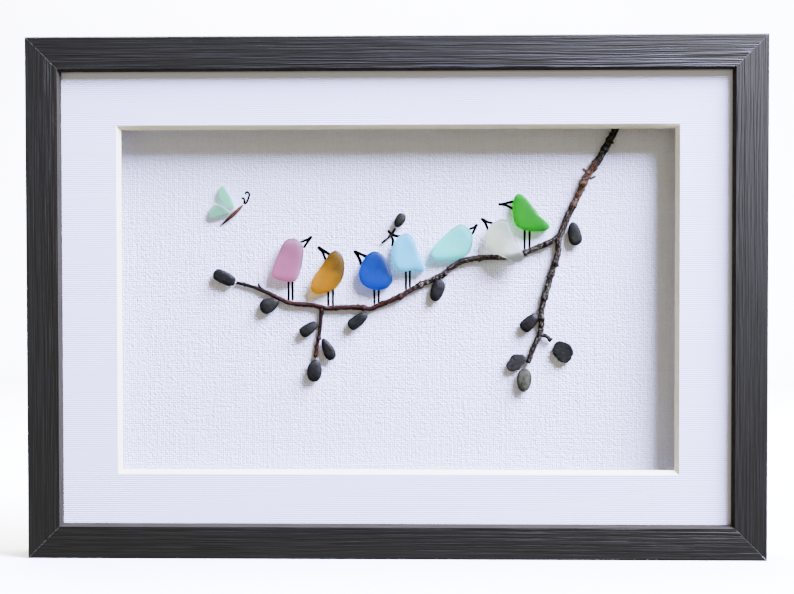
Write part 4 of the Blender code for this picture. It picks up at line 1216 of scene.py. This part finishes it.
class GLASS_ART_OT_boards(bpy.types.Operator):
    """Build the canvas, and finish the spacers and the backing board"""
    bl_idname = "glass_art.boards"
    bl_label = "Canvas and boards"

    def execute(self, context):
        canvas = context.scene.glass_art_canvas
        low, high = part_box("canvas_board")
        columns = lines_between(low.x, high.x, CANVAS_LINE_SPACING)
        rows = lines_between(low.z, high.z, CANVAS_LINE_SPACING)
        make_board("canvas", "canvas_board", canvas_cloth(canvas), columns, rows,
                   lambda x, z: low.y + canvas_hollow(x, z, canvas.hollow))
        card = foam_card()
        for node in ("spacer_top", "spacer_bottom", "spacer_left", "spacer_right"):
            refinish(node, card)
        refinish("backing_board", fibreboard())
        return {"FINISHED"}


def refinish(node, material):
    """Gives a solid that stays in the scene its finished material."""
    solid = NODES[node]
    solid.data.materials.clear()
    solid.data.materials.append(material)


class GLASS_ART_OT_birds(bpy.types.Operator):
    """Build the seven birds of frosted sea glass"""
    bl_idname = "glass_art.birds"
    bl_label = "Glass birds"

    def execute(self, context):
        glass = context.scene.glass_art_glass
        for seed, (name, (node, slot_name, tint, painted_shade_tint)) in enumerate(GLASS.items(), 100):
            clearness = CLEAREST if name == "clear" else glass.clearness
            material = sea_glass(name, tint, painted_shade_tint, glass, clearness)
            part = worn_shell(node, seed, glass.wear, *BIRD_FORM)
            build_mesh(f"glass_bird_{name}", [part], material, [node])
        return {"FINISHED"}


class GLASS_ART_OT_butterfly(bpy.types.Operator):
    """Build the butterfly: two glass wings and a sliver of seed husk"""
    bl_idname = "glass_art.butterfly"
    bl_label = "Butterfly"

    def execute(self, context):
        glass = context.scene.glass_art_glass
        for seed, (name, (node, slot_name, tint, painted_shade_tint)) in enumerate(WINGS.items(), 130):
            material = sea_glass(f"{name}_wing", tint, painted_shade_tint, glass, glass.clearness, True)
            part = worn_shell(node, seed, glass.wear * WING_WEAR, *WING_FORM)
            build_mesh(f"glass_wing_{name}", [part], material, [node])
        bark = context.scene.glass_art_bark
        material = twig_bark("husk", bark, bark.husk, True)
        build_mesh("husk_body", [sliver_shell(139)], material, ["butterfly_body"])
        return {"FINISHED"}


class GLASS_ART_OT_stones(bpy.types.Operator):
    """Build the pebble leaves and the slate leaves"""
    bl_idname = "glass_art.stones"
    bl_label = "Pebbles and slates"

    def execute(self, context):
        stone = context.scene.glass_art_stone
        for seed, (node, (slot_name, colour)) in enumerate(STONES.items(), 150):
            name = node.replace("pebble_leaf", "beach_pebble")
            part = worn_shell(node, seed, stone.wear, *PEBBLE_FORM)
            build_mesh(name, [part], worn_stone(name, colour), [node])
        for seed, (node, colour) in enumerate(SLATES.items(), 170):
            name = node.replace("slate_leaf", "slate_flake")
            part = slate_shell(node, seed, stone.cleft)
            build_mesh(name, [part], split_slate(name, colour), [node])
        return {"FINISHED"}


class GLASS_ART_OT_twigs(bpy.types.Operator):
    """Build the trunk, the perch and the held sprig with their bark, buds and loose flakes"""
    bl_idname = "glass_art.twigs"
    bl_label = "Twigs"

    def execute(self, context):
        bark = context.scene.glass_art_bark
        rough = twig_bark("dark", bark, bark.rust, False)
        smooth = twig_bark("red", bark, bark.red, True)
        trunk = [twig_shell(twig, bark.furrow) for twig in (TRUNK, SIDE_TWIG, TRUNK_SPUR)]
        trunk += [flake_shell(*flake, seed) for seed, flake in enumerate(FLAKES, 211)]
        build_mesh("bark_trunk", trunk, rough, ["trunk_twig"])
        perch = [twig_shell(twig, bark.furrow) for twig in (PERCH, HANGING_TWIG, PERCH_SPUR)]
        build_mesh("bark_perch", perch, smooth, ["perch_twig"])
        sprig = [twig_shell(SPRIG, bark.furrow)]
        build_mesh("bark_sprig", sprig, rough, ["held_sprig"])
        return {"FINISHED"}


class GLASS_ART_OT_ink(bpy.types.Operator):
    """Draw the legs, beaks and antennae on the canvas"""
    bl_idname = "glass_art.ink"
    bl_label = "Pen strokes"

    def execute(self, context):
        ink = context.scene.glass_art_ink
        hollow = context.scene.glass_art_canvas.hollow
        strokes = [stroke_shell(*stroke, ink.film, hollow, seed)
                   for seed, stroke in enumerate(PEN_STROKES, 301)]
        build_mesh("pen_strokes", strokes, pen_ink(ink))
        return {"FINISHED"}


def disk_lamp(name, power, place, aim, size, colour=(1.0, 1.0, 1.0)):
    """A round lamp at a place, turned so that it shines at its aim."""
    lamp = bpy.data.lights.new(name, "AREA")
    lamp.shape = "DISK"
    lamp.size = size
    lamp.energy = power
    lamp.color = colour
    light = bpy.data.objects.new(name, lamp)
    bpy.context.scene.collection.objects.link(light)
    light.location = place
    x, y, z = np.array(aim) - np.array(place)
    light.rotation_euler = (math.atan2(math.hypot(x, y), -z), 0.0, math.atan2(-x, y))
    return light


class GLASS_ART_OT_stage(bpy.types.Operator):
    """Set the floor, the lights and the camera"""
    bl_idname = "glass_art.stage"
    bl_label = "Stage"

    def execute(self, context):
        stage = context.scene.glass_art_stage
        bend = np.linspace(0, math.pi / 2, 17)
        run = np.concatenate(([FLOOR_FRONT], FLOOR_BEND + FLOOR_RADIUS * np.sin(bend),
                              [FLOOR_BEND + FLOOR_RADIUS]))
        rise = np.concatenate(([0.0], FLOOR_RADIUS - FLOOR_RADIUS * np.cos(bend), [FLOOR_TOP]))
        across = np.linspace(-FLOOR_HALF_WIDTH, FLOOR_HALF_WIDTH, 9)
        grid = stacked(across[None], run[:, None], rise[:, None])
        mesh = bpy.data.meshes.new("studio_floor")
        faces = grid_faces(len(run), len(across))
        mesh.from_pydata(grid.reshape(-1, 3).tolist(), [], faces.tolist())
        mesh.shade_smooth()
        mesh.materials.append(plain_floor())
        floor = bpy.data.objects.new("studio_floor", mesh)
        context.scene.collection.objects.link(floor)
        floor.visible_diffuse = False
        floor.visible_glossy = False
        disk_lamp("key", stage.key, **KEY_LAMP)
        disk_lamp("backdrop_wash", stage.backdrop, **BACKDROP_LAMP)
        sheen = disk_lamp("wall_sheen", stage.sheen, **SHEEN_LAMP)
        sheen.visible_diffuse = False
        world = bpy.data.worlds.new("soft_room")
        world.use_nodes = True
        background = world.node_tree.nodes["Background"]
        background.inputs["Color"].default_value = ROOM_COLOUR
        background.inputs["Strength"].default_value = stage.fill
        context.scene.world = world
        lens = bpy.data.cameras.new("camera")
        lens.lens = CAMERA_LENS
        lens.sensor_width = CAMERA_SENSOR
        camera = bpy.data.objects.new("camera", lens)
        context.scene.collection.objects.link(camera)
        camera.location = CAMERA_PLACE
        camera.rotation_euler = tuple(math.radians(angle) for angle in CAMERA_DEGREES)
        context.scene.camera = camera
        return {"FINISHED"}


class GLASS_ART_PT_panel(bpy.types.Panel):
    """Lists the steps and the sizes and colours that they read"""
    bl_idname = "GLASS_ART_PT_panel"
    bl_label = "Framed glass art"
    bl_space_type = "VIEW_3D"
    bl_region_type = "UI"
    bl_category = "Glass Art"

    def draw(self, context):
        column = self.layout.column(align=True)
        for step in STEPS:
            column.operator(step.bl_idname)
        for name, group in SETTINGS.items():
            box = self.layout.box()
            box.label(text=name.rsplit("_", 1)[1].title())
            for key in group.__annotations__:
                box.prop(getattr(context.scene, name), key)


STEPS = (
    GLASS_ART_OT_rails,
    GLASS_ART_OT_mat,
    GLASS_ART_OT_boards,
    GLASS_ART_OT_birds,
    GLASS_ART_OT_butterfly,
    GLASS_ART_OT_stones,
    GLASS_ART_OT_twigs,
    GLASS_ART_OT_ink,
    GLASS_ART_OT_stage,
)


def register():
    for group in (*SETTINGS.values(), *STEPS, GLASS_ART_PT_panel):
        bpy.utils.register_class(group)
    for name, group in SETTINGS.items():
        setattr(bpy.types.Scene, name, PointerProperty(type=group))


def unregister():
    for name in SETTINGS:
        delattr(bpy.types.Scene, name)
    for group in reversed((*SETTINGS.values(), *STEPS, GLASS_ART_PT_panel)):
        bpy.utils.unregister_class(group)


def main():
    register()
    bpy.ops.glass_art.rails()
    bpy.ops.glass_art.mat()
    bpy.ops.glass_art.boards()
    bpy.ops.glass_art.birds()
    bpy.ops.glass_art.butterfly()
    bpy.ops.glass_art.stones()
    bpy.ops.glass_art.twigs()
    bpy.ops.glass_art.ink()
    bpy.ops.glass_art.stage()
    bpy.context.view_layer.update()


if __name__ == "__main__":
    main()
